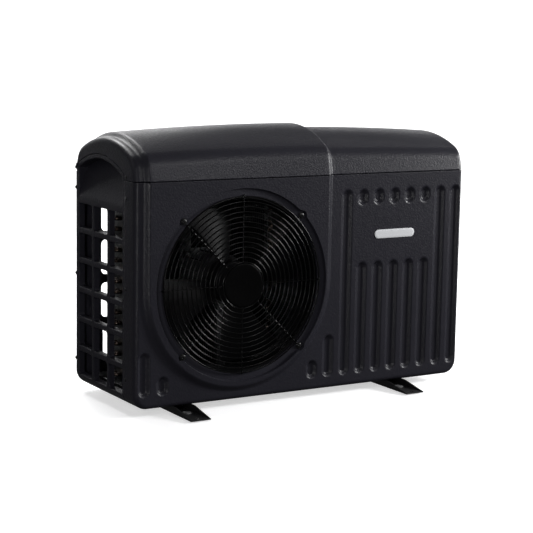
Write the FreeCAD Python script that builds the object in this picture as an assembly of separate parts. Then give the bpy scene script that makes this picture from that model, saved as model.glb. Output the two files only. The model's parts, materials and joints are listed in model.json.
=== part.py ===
import FreeCAD, Part
import math
import os

# Pool heat pump unit.  Millimetres, +Z up, X along the length, Y from front to back.
# The origin is on the ground under the middle of the case.

V = FreeCAD.Vector
AX = {"x": V(1, 0, 0), "y": V(0, 1, 0), "z": V(0, 0, 1)}

# ---- driving dimensions -------------------------------------------------------------
CASE_LENGTH = 930.0
CASE_DEPTH = 336.0
FOOT_HEIGHT = 20.0
SEAM_Z = 550.0           # joint between the panels and the top cover
WALL = 3.0               # moulded wall
SEAM_GAP = 1.5
CORNER_R = 12.0          # upright corners of the case
BOTTOM_R = 35.0          # lower corners seen from the front
CROWN_Z = 656.0          # crest of the cover at mid length
CROWN_DROP = 16.0        # how much lower the crest is at the ends
SHOULDER_Z = 600.0
SHOULDER_DROP = 8.0
SHOULDER_HALF = 157.0    # half depth of the cover at its shoulder
FAN_X = -184.0
FAN_Z = 297.0
FAN_OPENING_R = 211.0
BELT_X = -190.0          # raised belt that runs round the fan and over the cover
BELT_OUT = 257.0
BELT_IN = 240.0
BELT_RISE = 10.0

HL = CASE_LENGTH / 2
YF = -CASE_DEPTH / 2
YR = CASE_DEPTH / 2
Z0 = FOOT_HEIGHT
PANEL_TOP = SEAM_Z - SEAM_GAP / 2
COVER_Z = SEAM_Z + SEAM_GAP / 2
FRONT_RETURN_Y = -107.0  # rear edge of the front panel's side returns
REAR_RETURN_Y = 154.5    # front edge of the rear panel's side returns
BOTTOM_LIP = 18.0

# fan guard and fan
LEDGE_R = 229.0
LEDGE_Y = YF - 2.0
GUARD_SCREW_R = 225.0
EAR_R = 11.0
GUARD_RINGS = 14
GUARD_RING_0 = 55.4
GUARD_PITCH = 11.95
RING_WIRE = 1.6
SPOKE_WIRE = 1.7
RING_Y = -175.3
SPOKE_Y = -172.1
SHROUD_IN = 206.0
BLADES = 4
BLADE_R = 199.0
HUB_R = 52.0
HUB_Y0 = -133.0
HUB_LENGTH = 52.0
SHAFT_R = 6.0
MOTOR_Y0 = -68.0
MOTOR_Y1 = 18.0
MOTOR_R = 62.0
MOTOR_LUGS = [(dx, dz) for dx in (-50.0, 50.0) for dz in (-52.0, 52.0)]
DUCT_LENGTH = 70.0
DUCT_FLARE = 14.0

# side panels
PANEL_Y0 = FRONT_RETURN_Y + SEAM_GAP
PANEL_Y1 = REAR_RETURN_Y - SEAM_GAP
PANEL_YC = (PANEL_Y0 + PANEL_Y1) / 2
PANEL_SPRING_Z = 565.0
PANEL_PEAK_Z = 599.0
GRILLE_W = 75.0
GRILLE_H = 60.0
GRILLE_DEPTH = 15.0
GRILLE_Y = [-65.0, 20.4, 105.7]
GRILLE_Z = [77.3 + 73.1 * i for i in range(6)]
SCOOP_Y = (PANEL_Y0 + 10.0, PANEL_Y1 - 10.0)
SCOOP_Z0 = 487.0
SCOOP_DEPTH = 38.0
SCOOP_TOP = 587.0

# grooves in the front: centre X and the Z where they end
GROOVE_W = 34.0
GROOVE_DEPTH = 5.0
GROOVE_BOTTOM = 48.0
GROOVE_TOP = 514.0
GROOVE_PITCH = 47.0
GROOVE_LAST_X = 440.0
OVAL_BOTTOM = 470.5
LOWER_TOP = 333.0
MEDIUM_TOP = 157.0
SHORT_TOP = 97.0

# rear grille
REAR_OPEN_W = 80.0
REAR_OPEN_H = 88.0
REAR_COLUMNS = [-353.0 + 90.0 * i for i in range(5)]
REAR_ROWS = [114.5 + 108.0 * i for i in range(4)]

# rails under the case
RAIL_X = [-336.0, 271.0]
RAIL_W = 52.0
RAIL_HALF = 253.0
RAIL_T = 2.5
RAIL_Z0 = 3.0
RAIL_HOLE_Y = 238.0
RAIL_HOLE_R = 5.5
PAD_Y = 183.0
PAN_HALF_X = 424.0
PAN_HALF_Y = 149.0
PAN_T = 2.0
RAIL_BOLT_Y = [-110.0, 110.0]

# coil
FIN_X0 = -364.0
FIN_PITCH = 6.0
FIN_COUNT = 67
FIN_T = 0.8
FIN_Y = (96.0, 146.0)
FIN_Z = (30.0, 526.0)
TUBE_R = 5.0
TUBE_Y = (108.5, 133.5)
TUBE_Z = [43.0 + 26.0 * i for i in range(19)]
DIVIDER_X = 72.0

# compressor side
COMP_X = 192.0
COMP_Y = 6.0
COMP_R = 75.0
COMP_Z0 = 44.0
COMP_Z1 = 300.0
GROMMET_R = 88.0          # how far the feet stand from the compressor's axis
VALVE_X = 288.0           # left end of the expansion valve
ACC_X = 170.0
ACC_Y = 116.0
ACC_R = 28.0
HX_X = 370.0
HX_Y = 82.0
HX_R = 58.0
HX_Z0 = 46.0
HX_Z1 = 480.0
COIL_R = 38.0
COIL_TUBE_R = 6.0
COIL_PITCH = 22.0
COIL_TURNS = 16
COIL_Z0 = 84.0
PORT_Z = [130.0, 410.0]
PORT_R = 30.0
PORT_Y1 = 186.0
NUT_GAP = 0.3
SOCKET_R = 25.1
SOCKET_LENGTH = 30.0
TAIL_Y1 = 224.0
EBOX = (100.0, 430.0, -152.0, -70.0, 396.0, 532.0)
GLAND_X = 250.0
GLAND_Z = 470.0
DRAIN_X = -60.0
DRAIN_Y = 60.0

BADGE_X = 254.0
BADGE_Z = 398.0
BADGE_LENGTH = 120.0
BADGE_HEIGHT = 22.0

SCREW_Z = [85.0, 297.6, 509.0]
COVER_SCREW_Z = 558.0
SCREW_Y = [-119.0, 161.0]


# ---- helpers ------------------------------------------------------------------------
def block(x0, x1, y0, y1, z0, z1):
    return Part.makeBox(x1 - x0, y1 - y0, z1 - z0, V(x0, y0, z0))


def rod(x, y, z, r, length, axis="z"):
    return Part.makeCylinder(r, length, V(x, y, z), AX[axis])


def ring(x, y, z, r_out, r_in, length, axis="z"):
    hole = V(x, y, z) - AX[axis]
    return rod(x, y, z, r_out, length, axis).cut(Part.makeCylinder(r_in, length + 2, hole, AX[axis]))


def prism(points, vector):
    wire = Part.makePolygon([V(*p) for p in points + points[:1]])
    return Part.Face(wire).extrude(V(*vector))


def closed(edges):
    return Part.Wire(Part.__sortEdges__(edges))


def line(a, b):
    return Part.makeLine(V(*a), V(*b))


def arc(a, m, b):
    return Part.Arc(V(*a), V(*m), V(*b)).toShape()


def group(shapes):
    return Part.makeCompound(shapes)


def fuse(shapes):
    return shapes[0].multiFuse(shapes[1:]).removeSplitter() if len(shapes) > 1 else shapes[0]


def stadium(cx, z0, z1, width, y):
    """Upright slot outline with round ends, in the plane of that y."""
    r = width / 2
    return closed([
        line((cx - r, y, z0 + r), (cx - r, y, z1 - r)),
        arc((cx - r, y, z1 - r), (cx, y, z1), (cx + r, y, z1 - r)),
        line((cx + r, y, z1 - r), (cx + r, y, z0 + r)),
        arc((cx + r, y, z0 + r), (cx, y, z0), (cx - r, y, z0 + r)),
    ])


def opening(centre, width, height, radius, depth, axis):
    """Solid plug with rounded corners, used to cut one grille opening along x or y."""
    w = width / 2
    h = height / 2
    plug = block(-w, w, -depth / 2, depth / 2, -h, h)
    upright = [e for e in plug.Edges if abs(e.tangentAt(e.FirstParameter).y) > 0.9]
    plug = plug.makeFillet(radius, upright)
    if axis == "x":
        plug.rotate(V(0, 0, 0), V(0, 0, 1), 90)
    plug.translate(V(*centre))
    return plug


def pipe(points, radius, bend):
    """Round bar along straight runs joined by arcs of one bend radius."""
    pts = [V(*p) for p in points]
    edges = []
    start = pts[0]
    for i in range(1, len(pts) - 1):
        u = (pts[i - 1] - pts[i]).normalize()
        w = (pts[i + 1] - pts[i]).normalize()
        half = u.getAngle(w) / 2
        reach = bend / math.tan(half)
        a = pts[i] + u * reach
        b = pts[i] + w * reach
        bisector = (u + w).normalize()
        mid = pts[i] + bisector * (bend / math.sin(half) - bend)
        edges.append(Part.makeLine(start, a))
        edges.append(Part.Arc(a, mid, b).toShape())
        start = b
    edges.append(Part.makeLine(start, pts[-1]))
    path = Part.Wire(edges)
    profile = Part.Wire(Part.makeCircle(radius, pts[0], pts[1] - pts[0]))
    return path.makePipeShell([profile], True, False)


# ---- case ---------------------------------------------------------------------------
def case_block(inset, y0, y1, top):
    """Bar with the case's front outline: square at the top, round at the lower corners."""
    h = HL - inset
    z = Z0 + inset
    r = BOTTOM_R - inset
    k = r * (1 - math.sqrt(0.5))
    outline = closed([
        line((-h, y0, top), (-h, y0, z + r)),
        arc((-h, y0, z + r), (-h + k, y0, z + k), (-h + r, y0, z)),
        line((-h + r, y0, z), (h - r, y0, z)),
        arc((h - r, y0, z), (h - k, y0, z + k), (h, y0, z + r)),
        line((h, y0, z + r), (h, y0, top)),
        line((h, y0, top), (-h, y0, top)),
    ])
    return Part.Face(outline).extrude(V(0, y1 - y0, 0))


def rounded_face(solid, y, top, radius):
    """Round every edge of the face at that y, apart from its top edge."""
    edges = []
    for e in solid.Edges:
        on_face = all(abs(v.Y - y) < 0.01 for v in e.Vertexes)
        on_top = all(abs(v.Z - top) < 0.01 for v in e.Vertexes)
        if on_face and not on_top:
            edges.append(e)
    return solid.makeFillet(radius, edges)


def belt(y_foot, y_face, top):
    """Raised belt: straight sides above the fan's centre and a half circle below it."""
    wires = []
    for y, w in ((y_foot, BELT_OUT), (y_face, BELT_IN)):
        left = BELT_X - w
        right = BELT_X + w
        wires.append(closed([
            line((left, y, top), (left, y, FAN_Z)),
            arc((left, y, FAN_Z), (BELT_X, y, FAN_Z - w), (right, y, FAN_Z)),
            line((right, y, FAN_Z), (right, y, top)),
            line((right, y, top), (left, y, top)),
        ]))
    return Part.makeLoft(wires, True, True)


def groove_list():
    """Centre, lower end and upper end of every groove in the front."""
    xs = [GROOVE_LAST_X - GROOVE_PITCH * i for i in range(9, -1, -1)]
    tops = [SHORT_TOP, MEDIUM_TOP, GROOVE_TOP] + [LOWER_TOP] * 5 + [GROOVE_TOP] * 2
    grooves = [(x, GROOVE_BOTTOM, top) for x, top in zip(xs, tops)]
    grooves += [(x, OVAL_BOTTOM, GROOVE_TOP) for x in xs[3:8]]
    grooves += [(-441.0, GROOVE_BOTTOM, MEDIUM_TOP), (-392.5, GROOVE_BOTTOM, SHORT_TOP)]
    return grooves


def guard_screw_places():
    places = []
    for quarter in range(4):
        a = math.radians(45 + 90 * quarter)
        places.append((FAN_X + GUARD_SCREW_R * math.cos(a), FAN_Z + GUARD_SCREW_R * math.sin(a)))
    return places


def side_screw_holes(panel, ys, zs, sides=(-1, 1)):
    for side in sides:
        for y in ys:
            for z in zs:
                panel = panel.cut(rod(side * HL - 8, y, z, 2.3, 16, "x"))
    return panel


def front_panel():
    outer = rounded_face(case_block(0, YF, FRONT_RETURN_Y, PANEL_TOP), YF, PANEL_TOP, CORNER_R)
    inner = case_block(WALL, YF + WALL, FRONT_RETURN_Y + 1, PANEL_TOP + 5)
    inner = rounded_face(inner, YF + WALL, PANEL_TOP + 5, CORNER_R - WALL)
    lip = block(-HL + BOTTOM_R, HL - BOTTOM_R, YF + BOTTOM_LIP, 0, Z0 - 1, Z0 + WALL + 1)
    band = belt(YF, YF - BELT_RISE, PANEL_TOP)
    hollow = belt(YF + WALL + 0.01, YF - BELT_RISE + WALL, PANEL_TOP + 5)
    boss = [rod(FAN_X, YF - BELT_RISE, FAN_Z, LEDGE_R + 4, 11, "y")]
    pocket = [rod(FAN_X, YF - BELT_RISE - 1, FAN_Z, LEDGE_R, LEDGE_Y - YF + BELT_RISE + 1, "y")]
    for x, z in guard_screw_places():
        boss.append(rod(x, YF - BELT_RISE, z, EAR_R + 3, 11, "y"))
        pocket.append(rod(x, YF - BELT_RISE - 1, z, EAR_R, LEDGE_Y - YF + BELT_RISE + 1, "y"))
        pocket.append(rod(x, YF - 4, z, 2.2, 10, "y"))
    pocket.append(rod(FAN_X, YF - 20, FAN_Z, FAN_OPENING_R, 40, "y"))
    backs = []
    cuts = []
    for cx, low, high in groove_list():
        backs.append(Part.Face(stadium(cx, low + 2, high - 2, GROOVE_W - 4, YF + 2)).extrude(V(0, 6, 0)))
        mouth = stadium(cx, low, high, GROOVE_W, YF - 0.01)
        floor = stadium(cx, low + 6, high - 6, GROOVE_W - 12, YF + GROOVE_DEPTH)
        cuts.append(Part.makeLoft([mouth, floor], True, True))
    shell = outer.fuse(band).cut(group([inner, lip])).cut(hollow)
    shell = shell.multiFuse(boss + backs).cut(group(pocket)).cut(group(cuts))
    return side_screw_holes(shell, SCREW_Y[:1], SCREW_Z)


def rear_panel():
    outer = rounded_face(case_block(0, YR, REAR_RETURN_Y, PANEL_TOP), YR, PANEL_TOP, CORNER_R)
    inner = case_block(WALL, YR - WALL, REAR_RETURN_Y - 1, PANEL_TOP + 5)
    inner = rounded_face(inner, YR - WALL, PANEL_TOP + 5, CORNER_R - WALL)
    shell = outer.fuse(belt(YR, YR + BELT_RISE, PANEL_TOP)).cut(inner)
    shell = shell.cut(belt(YR - WALL - 0.01, YR + BELT_RISE - WALL, PANEL_TOP + 5))
    floor = block(-HL + BOTTOM_R, HL - BOTTOM_R, REAR_RETURN_Y - 2, YR - WALL - 4, Z0 - 1, Z0 + 4)
    shell = shell.cut(floor)
    plugs = []
    for x in REAR_COLUMNS:
        for z in REAR_ROWS:
            plugs.append(opening((x, YR, z), REAR_OPEN_W, REAR_OPEN_H, 12, 60, "y"))
    for z in PORT_Z:
        plugs.append(rod(HX_X, YR - 20, z, PORT_R + 3, 40, "y"))
    plugs.append(rod(GLAND_X, YR - 20, GLAND_Z, 8.4, 40, "y"))
    return side_screw_holes(shell.cut(group(plugs)), SCREW_Y[1:], SCREW_Z)


def cover_section(x, grow, z_base):
    """Arch outline of the cover across the case, grown by that much all round."""
    t = (x / HL) ** 2
    crest = CROWN_Z - CROWN_DROP * t + grow
    shoulder = SHOULDER_Z - SHOULDER_DROP * t + 0.6 * grow
    base = CASE_DEPTH / 2 + grow
    half = SHOULDER_HALF + grow
    inner_half = half - 8.0
    inner_z = shoulder + 7.0
    mid = (x, half - 2.6, shoulder + 5.2)
    right = [
        line((x, base, z_base), (x, half, shoulder - 3.0)),
        arc((x, half, shoulder - 3.0), mid, (x, inner_half, inner_z)),
    ]
    left = [
        arc((x, -inner_half, inner_z), (x, -mid[1], mid[2]), (x, -half, shoulder - 3.0)),
        line((x, -half, shoulder - 3.0), (x, -base, z_base)),
    ]
    top = [arc((x, inner_half, inner_z), (x, 0, crest), (x, -inner_half, inner_z))]
    close = [line((x, -base, z_base), (x, base, z_base))]
    return Part.Wire(right + top + left + close)


def cover_solid(grow, z_base, end):
    """Crowned cover without the belt, its ends rounded a little."""
    xs = [-end + CORNER_R, -end / 2, 0, end / 2, end - CORNER_R]
    body = Part.makeLoft([cover_section(x, grow, z_base) for x in xs], True, False)
    caps = []
    for side in (-1, 1):
        steps = [(CORNER_R, 0.0), (CORNER_R * 0.5, -1.6), (CORNER_R * 0.15, -5.6), (0.0, -11.0)]
        wires = [cover_section(side * (end - back), grow + inset, z_base) for back, inset in steps]
        caps.append(Part.makeLoft(wires, True, True))
    return body.multiFuse(caps)


def cover_belt(grow, z_base):
    xs = [BELT_X - BELT_IN, BELT_X, BELT_X + BELT_IN]
    body = Part.makeLoft([cover_section(x, BELT_RISE + grow, z_base) for x in xs], True, False)
    slopes = []
    for side in (-1, 1):
        near = cover_section(BELT_X + side * BELT_IN, BELT_RISE + grow, z_base)
        far = cover_section(BELT_X + side * (BELT_OUT + 1), grow - 0.6, z_base)
        slopes.append(Part.makeLoft([near, far], True, True))
    return body.multiFuse(slopes)


def side_arch(x0, x1, grow, z_base):
    """Side panel's outline with its arched top, as a slab between two x."""
    y0 = PANEL_Y0 - grow
    y1 = PANEL_Y1 + grow
    spring = PANEL_SPRING_Z + grow * 0.6
    outline = closed([
        line((x0, y0, z_base), (x0, y0, spring)),
        arc((x0, y0, spring), (x0, PANEL_YC, PANEL_PEAK_Z + grow), (x0, y1, spring)),
        line((x0, y1, spring), (x0, y1, z_base)),
        line((x0, y1, z_base), (x0, y0, z_base)),
    ])
    return Part.Face(outline).extrude(V(x1 - x0, 0, 0))


def top_cover():
    outer = cover_solid(0, COVER_Z, HL).fuse(cover_belt(0, COVER_Z))
    shell = outer.cut(cover_solid(-WALL, COVER_Z - 2, HL - WALL))
    shell = shell.cut(cover_belt(-WALL, COVER_Z - 2))
    for side in (-1, 1):
        edge = side * HL
        arch = side_arch(min(edge, edge - side * 20) - 1, max(edge, edge - side * 20) + 1, SEAM_GAP, Z0)
        shell = shell.cut(arch)
    return side_screw_holes(shell, SCREW_Y, [COVER_SCREW_Z])


def side_panel(side, with_grille):
    """Left (-1) or right (+1) side of the case with its hand scoop."""
    x0 = min(side * HL, side * (HL - 60))
    x1 = max(side * HL, side * (HL - 60))
    bar = case_block(0, PANEL_Y0, PANEL_Y1, PANEL_PEAK_Z + 5)
    core = case_block(WALL, PANEL_Y0 - 1, PANEL_Y1 + 1, PANEL_PEAK_Z + 9)
    slab = side_arch(x0, x1, 0, Z0 - 1)
    body = bar.cut(core).common(slab)
    body = body.cut(block(-HL + BOTTOM_R, HL - BOTTOM_R, -200, 200, 0, 60))
    if with_grille:
        thick = block(-HL, -HL + GRILLE_DEPTH, SCOOP_Y[0], SCOOP_Y[1], 44, 482)
        body = body.fuse(thick.common(bar))
        plugs = []
        for y in GRILLE_Y:
            for z in GRILLE_Z:
                plugs.append(opening((-HL, y, z), GRILLE_W, GRILLE_H, 7, 60, "x"))
        body = body.cut(group(plugs))

    def wedge(depth, z_low):
        face = side * HL
        pts = [(face, -150, z_low), (face, -150, SCOOP_TOP + 30), (face - side * depth, -150, SCOOP_TOP)]
        return prism(pts, (0, 320, 0))

    arch_in = side_arch(x0, x1, -10.0, SCOOP_Z0)
    arch_out = side_arch(x0, x1, -7.0, SCOOP_Z0 - 3)
    pocket = wedge(SCOOP_DEPTH, SCOOP_Z0).common(arch_in)
    lining = wedge(SCOOP_DEPTH + WALL, SCOOP_Z0 - 8).common(arch_out)
    return body.fuse(lining).cut(pocket)


def base_pan():
    outer = block(-PAN_HALF_X, PAN_HALF_X, -PAN_HALF_Y, PAN_HALF_Y, Z0, Z0 + 25)
    inner = block(-PAN_HALF_X + PAN_T, PAN_HALF_X - PAN_T, -PAN_HALF_Y + PAN_T, PAN_HALF_Y - PAN_T,
                  Z0 + PAN_T, Z0 + 40)
    tray = outer.cut(inner)
    holes = [rod(x, y, Z0 - 1, 3.4, 6) for x, y in rail_bolt_places()]
    holes.append(rod(DRAIN_X, DRAIN_Y, Z0 - 1, 9.3, 6))
    return tray.cut(group(holes))


# ---- rails and fixings --------------------------------------------------------------
def rail_bolt_places():
    places = []
    for x in RAIL_X:
        for dx in (-1, 1):
            for y in RAIL_BOLT_Y:
                places.append((x + dx * (RAIL_W / 2 - 9.5), y))
    return places


def foot_rail(cx):
    x0 = cx - RAIL_W / 2
    x1 = cx + RAIL_W / 2
    channel = block(x0, x1, -RAIL_HALF, RAIL_HALF, RAIL_Z0, Z0)
    channel = channel.cut(block(x0 + RAIL_T, x1 - RAIL_T, -300, 300, RAIL_Z0 + RAIL_T, Z0 + 1))
    flanges = []
    for a, b in ((x0, x0 + 16.5), (x1 - 16.5, x1)):
        flanges.append(block(a, b, -145, 145, Z0 - RAIL_T, Z0))
    rail = channel.multiFuse(flanges)
    for side in (-1, 1):
        tip = side * RAIL_HALF
        low = RAIL_Z0 + RAIL_T
        ramp = [(x0 - 1, tip, low), (x0 - 1, tip - side * 80, Z0 + 0.5), (x0 - 1, tip, Z0 + 0.5)]
        rail = rail.cut(prism(ramp, (RAIL_W + 2, 0, 0)))
        rail = rail.cut(rod(cx, side * RAIL_HOLE_Y, 0, RAIL_HOLE_R, 10))
        rail = rail.cut(rod(cx, side * PAD_Y, 0, 8.0, 10))
    holes = [rod(x, y, Z0 - 6, 3.4, 8) for x, y in rail_bolt_places()]
    return rail.cut(group(holes))


def rail_pads():
    """Rubber buttons pushed through the rails; the unit stands on them."""
    pads = []
    for cx in RAIL_X:
        for side in (-1, 1):
            y = side * PAD_Y
            foot = Part.makeCone(14.5, 16.0, RAIL_Z0, V(cx, y, 0), AX["z"])
            neck = rod(cx, y, RAIL_Z0 - 1, 7.7, 5)
            head = Part.makeCone(12.0, 10.0, 3.0, V(cx, y, RAIL_Z0 + RAIL_T), AX["z"])
            pads.append(fuse([foot, neck, head]))
    return group(pads)


def hexagon(x, y, z, flats, height):
    r = flats / math.sqrt(3)
    turns = [math.radians(60 * i) for i in range(6)]
    pts = [(x + r * math.cos(a), y + r * math.sin(a), z) for a in turns]
    return prism(pts, (0, 0, height))


def rail_bolts():
    bolts = []
    for x, y in rail_bolt_places():
        head = hexagon(x, y, Z0 + PAN_T, 10, 4)
        shank = rod(x, y, Z0 - 10, 3.0, 10 + PAN_T + 1)
        nut = hexagon(x, y, Z0 - RAIL_T - 5, 10, 5)
        bolts.append(fuse([head, shank, nut]))
    return group(bolts)


def side_screw(side, y, z):
    """Pan-head screw with a cross recess in a side of the case."""
    head = Part.makeSphere(6.6, V(0, 0, -4.9), AX["z"], 0, 90, 360).common(rod(0, 0, 0, 5.3, 3))
    slots = [block(-3, 3, -0.5, 0.5, 0.7, 3), block(-0.5, 0.5, -3, 3, 0.7, 3)]
    screw = head.fuse(rod(0, 0, -6, 2.0, 6.1)).cut(group(slots))
    screw.rotate(V(0, 0, 0), V(0, 1, 0), 90 * side)
    screw.translate(V(side * HL, y, z))
    return screw


def panel_screws():
    return group([side_screw(s, y, z) for s in (-1, 1) for y in SCREW_Y for z in SCREW_Z])


def cover_screws():
    return group([side_screw(s, y, COVER_SCREW_Z) for s in (-1, 1) for y in SCREW_Y])


# ---- fan ----------------------------------------------------------------------------
def guard_rings():
    rings = []
    for i in range(GUARD_RINGS):
        radius = GUARD_RING_0 + GUARD_PITCH * i
        rings.append(Part.makeTorus(radius, RING_WIRE, V(FAN_X, RING_Y, FAN_Z), AX["y"]))
    return group(rings)


def guard_spokes():
    """Eight radial wires; the four on the diagonals end in eyes for the screws."""
    spokes = []
    for i in range(8):
        a = math.radians(45 * i)
        diagonal = i % 2 == 1
        r1 = GUARD_SCREW_R - 5.0 if diagonal else 216.0
        start = V(FAN_X + 46 * math.cos(a), SPOKE_Y, FAN_Z + 46 * math.sin(a))
        direction = V(math.cos(a), 0, math.sin(a))
        wire = Part.makeCylinder(SPOKE_WIRE, r1 - 46, start, direction)
        if diagonal:
            eye = Part.makeTorus(5.0, SPOKE_WIRE, start + direction * (GUARD_SCREW_R - 46), AX["y"])
            wire = wire.fuse(eye)
        spokes.append(wire)
    return group(spokes)


def guard_cap():
    """Pressed disc in the middle of the guard."""
    dome = rod(FAN_X, RING_Y - 1.6, FAN_Z, 51.5, 1.6, "y")
    rim = ring(FAN_X, RING_Y - 1.6, FAN_Z, 52.6, 50.6, 5.5, "y")
    return dome.fuse(rim)


def guard_screws():
    screws = []
    for x, z in guard_screw_places():
        head = Part.makeCone(6.4, 5.0, 2.4, V(x, SPOKE_Y - SPOKE_WIRE, z), V(0, -1, 0))
        shank = rod(x, SPOKE_Y - SPOKE_WIRE - 0.5, z, 1.9, 7.4, "y")
        cross = [block(x - 3.0, x + 3.0, -180, -174.9, z - 0.55, z + 0.55),
                 block(x - 0.55, x + 0.55, -180, -174.9, z - 3.0, z + 3.0)]
        screws.append(head.fuse(shank).cut(group(cross)))
    return group(screws)


def fan_shroud():
    """Ring duct behind the opening, with a flared rear mouth and a screwed flange."""
    flange = ring(FAN_X, YF + 1.3, FAN_Z, 240.0, SHROUD_IN, 2.5, "y")
    duct = ring(FAN_X, YF + 1.3, FAN_Z, SHROUD_IN + 2.5, SHROUD_IN, DUCT_LENGTH, "y")
    mouth = V(FAN_X, YF + 1.0 + DUCT_LENGTH, FAN_Z)
    flare_out = Part.makeCone(SHROUD_IN + 2.5, SHROUD_IN + 16, DUCT_FLARE, mouth, AX["y"])
    flare_in = Part.makeCone(SHROUD_IN, SHROUD_IN + 13.5, DUCT_FLARE, mouth, AX["y"])
    return fuse([flange, duct, flare_out.cut(flare_in)])


def blade_grid(offset):
    """Points of one swept blade's pressure or suction side."""
    rows = []
    radii = [HUB_R - 3.0, 85.0, 122.0, 160.0, BLADE_R]
    for j, r in enumerate(radii):
        s = j / (len(radii) - 1)
        span = math.radians(40 + 3 * s)
        lead = math.radians(125 + 5 * s * s)
        depth = 30.0 + 8.0 * s
        row = []
        for i in range(7):
            u = i / 6
            a = lead - span * u
            camber = 7.0 * math.sin(math.pi * u)
            y = HUB_Y0 + 8 + depth * u - camber * 0.5 + offset
            row.append(V(r * math.cos(a), y, r * math.sin(a)))
        rows.append(row)
    return rows


def fan_blade():
    faces = []
    for offset in (-1.3, 1.3):
        surface = Part.BSplineSurface()
        surface.interpolate(blade_grid(offset))
        faces.append(surface.toShape())
    front_edges = faces[0].Edges
    back_edges = faces[1].Edges
    for e in front_edges:
        middle = e.valueAt((e.FirstParameter + e.LastParameter) / 2)
        gaps = [(middle - b.valueAt((b.FirstParameter + b.LastParameter) / 2)).Length for b in back_edges]
        faces.append(Part.makeRuledSurface(e, back_edges[gaps.index(min(gaps))]))
    shell = Part.makeShell(faces)
    shell.sewShape()
    blade = Part.Solid(shell)
    if blade.Volume < 0:
        blade.reverse()
    return blade


def fan_rotor():
    """Moulded hub and four swept blades in one piece."""
    cup = rod(0, HUB_Y0, 0, HUB_R, HUB_LENGTH, "y").cut(rod(0, HUB_Y0 + 4, 0, HUB_R - 4, HUB_LENGTH, "y"))
    socket = rod(0, HUB_Y0, 0, 13.0, HUB_LENGTH - 6, "y")
    webs = []
    for i in range(6):
        web = block(10, HUB_R - 2, HUB_Y0 + 2, HUB_Y0 + 34, -1.2, 1.2)
        web.rotate(V(0, 0, 0), V(0, 1, 0), 60 * i)
        webs.append(web)
    blades = []
    for i in range(BLADES):
        blade = fan_blade()
        blade.rotate(V(0, 0, 0), V(0, 1, 0), 360.0 / BLADES * i)
        blades.append(blade)
    rotor = cup.multiFuse([socket] + webs + blades).cut(rod(0, HUB_Y0 - 5, 0, SHAFT_R, 80, "y"))
    rotor.translate(V(FAN_X, 0, FAN_Z))
    return rotor


def motor_shaft():
    return rod(FAN_X, HUB_Y0 - 9, FAN_Z, SHAFT_R, MOTOR_Y0 + 50 - HUB_Y0 + 9, "y")


def fan_nut():
    nut = hexagon(0, 0, 0, 17, 7)
    washer = rod(0, 0, 0, 11, 1.5)
    body = nut.fuse(washer).cut(rod(0, 0, -1, SHAFT_R, 10))
    body.rotate(V(0, 0, 0), V(1, 0, 0), 90)
    body.translate(V(FAN_X, HUB_Y0, FAN_Z))
    return body


def fan_motor():
    can = rod(FAN_X, MOTOR_Y0, FAN_Z, MOTOR_R, MOTOR_Y1 - MOTOR_Y0, "y")
    can = can.makeFillet(6, can.Edges[:1])
    nose = rod(FAN_X, MOTOR_Y0 - 8, FAN_Z, 18, 10, "y")
    fins = []
    for i in range(12):
        fin = block(MOTOR_R - 3, MOTOR_R + 5, MOTOR_Y0 + 14, MOTOR_Y1 - 8, -1.5, 1.5)
        fin.rotate(V(0, 0, 0), V(0, 1, 0), 30 * i + 15)
        fin.translate(V(FAN_X, 0, FAN_Z))
        fins.append(fin)
    lugs = []
    for dx, dz in MOTOR_LUGS:
        x = FAN_X + dx
        z = FAN_Z + dz
        lugs.append(block(x - 9, x + 9, MOTOR_Y1 - 6, MOTOR_Y1, z - 9, z + 9))
    body = can.multiFuse([nose] + fins + lugs)
    return body.cut(group([rod(FAN_X, MOTOR_Y0 - 9, FAN_Z, SHAFT_R + 0.06, 62, "y")] + motor_bolt_holes()))


def motor_bolt_holes():
    return [rod(FAN_X + dx, MOTOR_Y1 - 7, FAN_Z + dz, 2.9, 12, "y") for dx, dz in MOTOR_LUGS]


def motor_bracket():
    """Two uprights from the pan to the top, with a cross plate behind the motor."""
    parts = []
    y0 = MOTOR_Y1 + 0.2
    for dx in (-50, 50):
        x = FAN_X + dx
        parts.append(block(x - 12, x + 12, y0, y0 + 2, Z0 + PAN_T, 540))
        parts.append(block(x - 12, x - 10, y0, y0 + 16, Z0 + PAN_T, 540))
        parts.append(block(x - 12, x + 12, y0, y0 + 24, Z0 + PAN_T, Z0 + PAN_T + 2))
    parts.append(block(FAN_X - 62, FAN_X + 62, y0, y0 + 2, FAN_Z - 66, FAN_Z + 66))
    parts.append(block(FAN_X - 62, FAN_X + 62, y0, y0 + 24, 538, 540))
    return fuse(parts).cut(group(motor_bolt_holes()))


def motor_bolts():
    bolts = []
    for dx, dz in MOTOR_LUGS:
        bolt = hexagon(0, 0, 0, 8, 4).fuse(rod(0, 0, -9, 2.5, 9.5))
        bolt.rotate(V(0, 0, 0), V(1, 0, 0), 90)
        bolt.translate(V(FAN_X + dx, MOTOR_Y1 - 6, FAN_Z + dz))
        bolts.append(bolt)
    return group(bolts)


# ---- coil ---------------------------------------------------------------------------
def drilled_sheet(x, thickness, ys, zs, hole_r):
    """Upright sheet across the coil with a hole for every tube."""
    corners = [V(x, ys[0], zs[0]), V(x, ys[1], zs[0]), V(x, ys[1], zs[1]), V(x, ys[0], zs[1])]
    outer = Part.makePolygon(corners + corners[:1])
    holes = [Part.Wire(Part.makeCircle(hole_r, V(x, y, z), AX["x"])) for y in TUBE_Y for z in TUBE_Z]
    face = Part.Face([outer] + holes)
    face.validate()
    return face.extrude(V(thickness, 0, 0))


def evaporator_fins():
    fin = drilled_sheet(FIN_X0, FIN_T, FIN_Y, FIN_Z, TUBE_R + 0.3)
    fins = []
    for i in range(FIN_COUNT):
        copy = fin.copy()
        copy.translate(V(FIN_PITCH * i, 0, 0))
        fins.append(copy)
    return group(fins)


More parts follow.
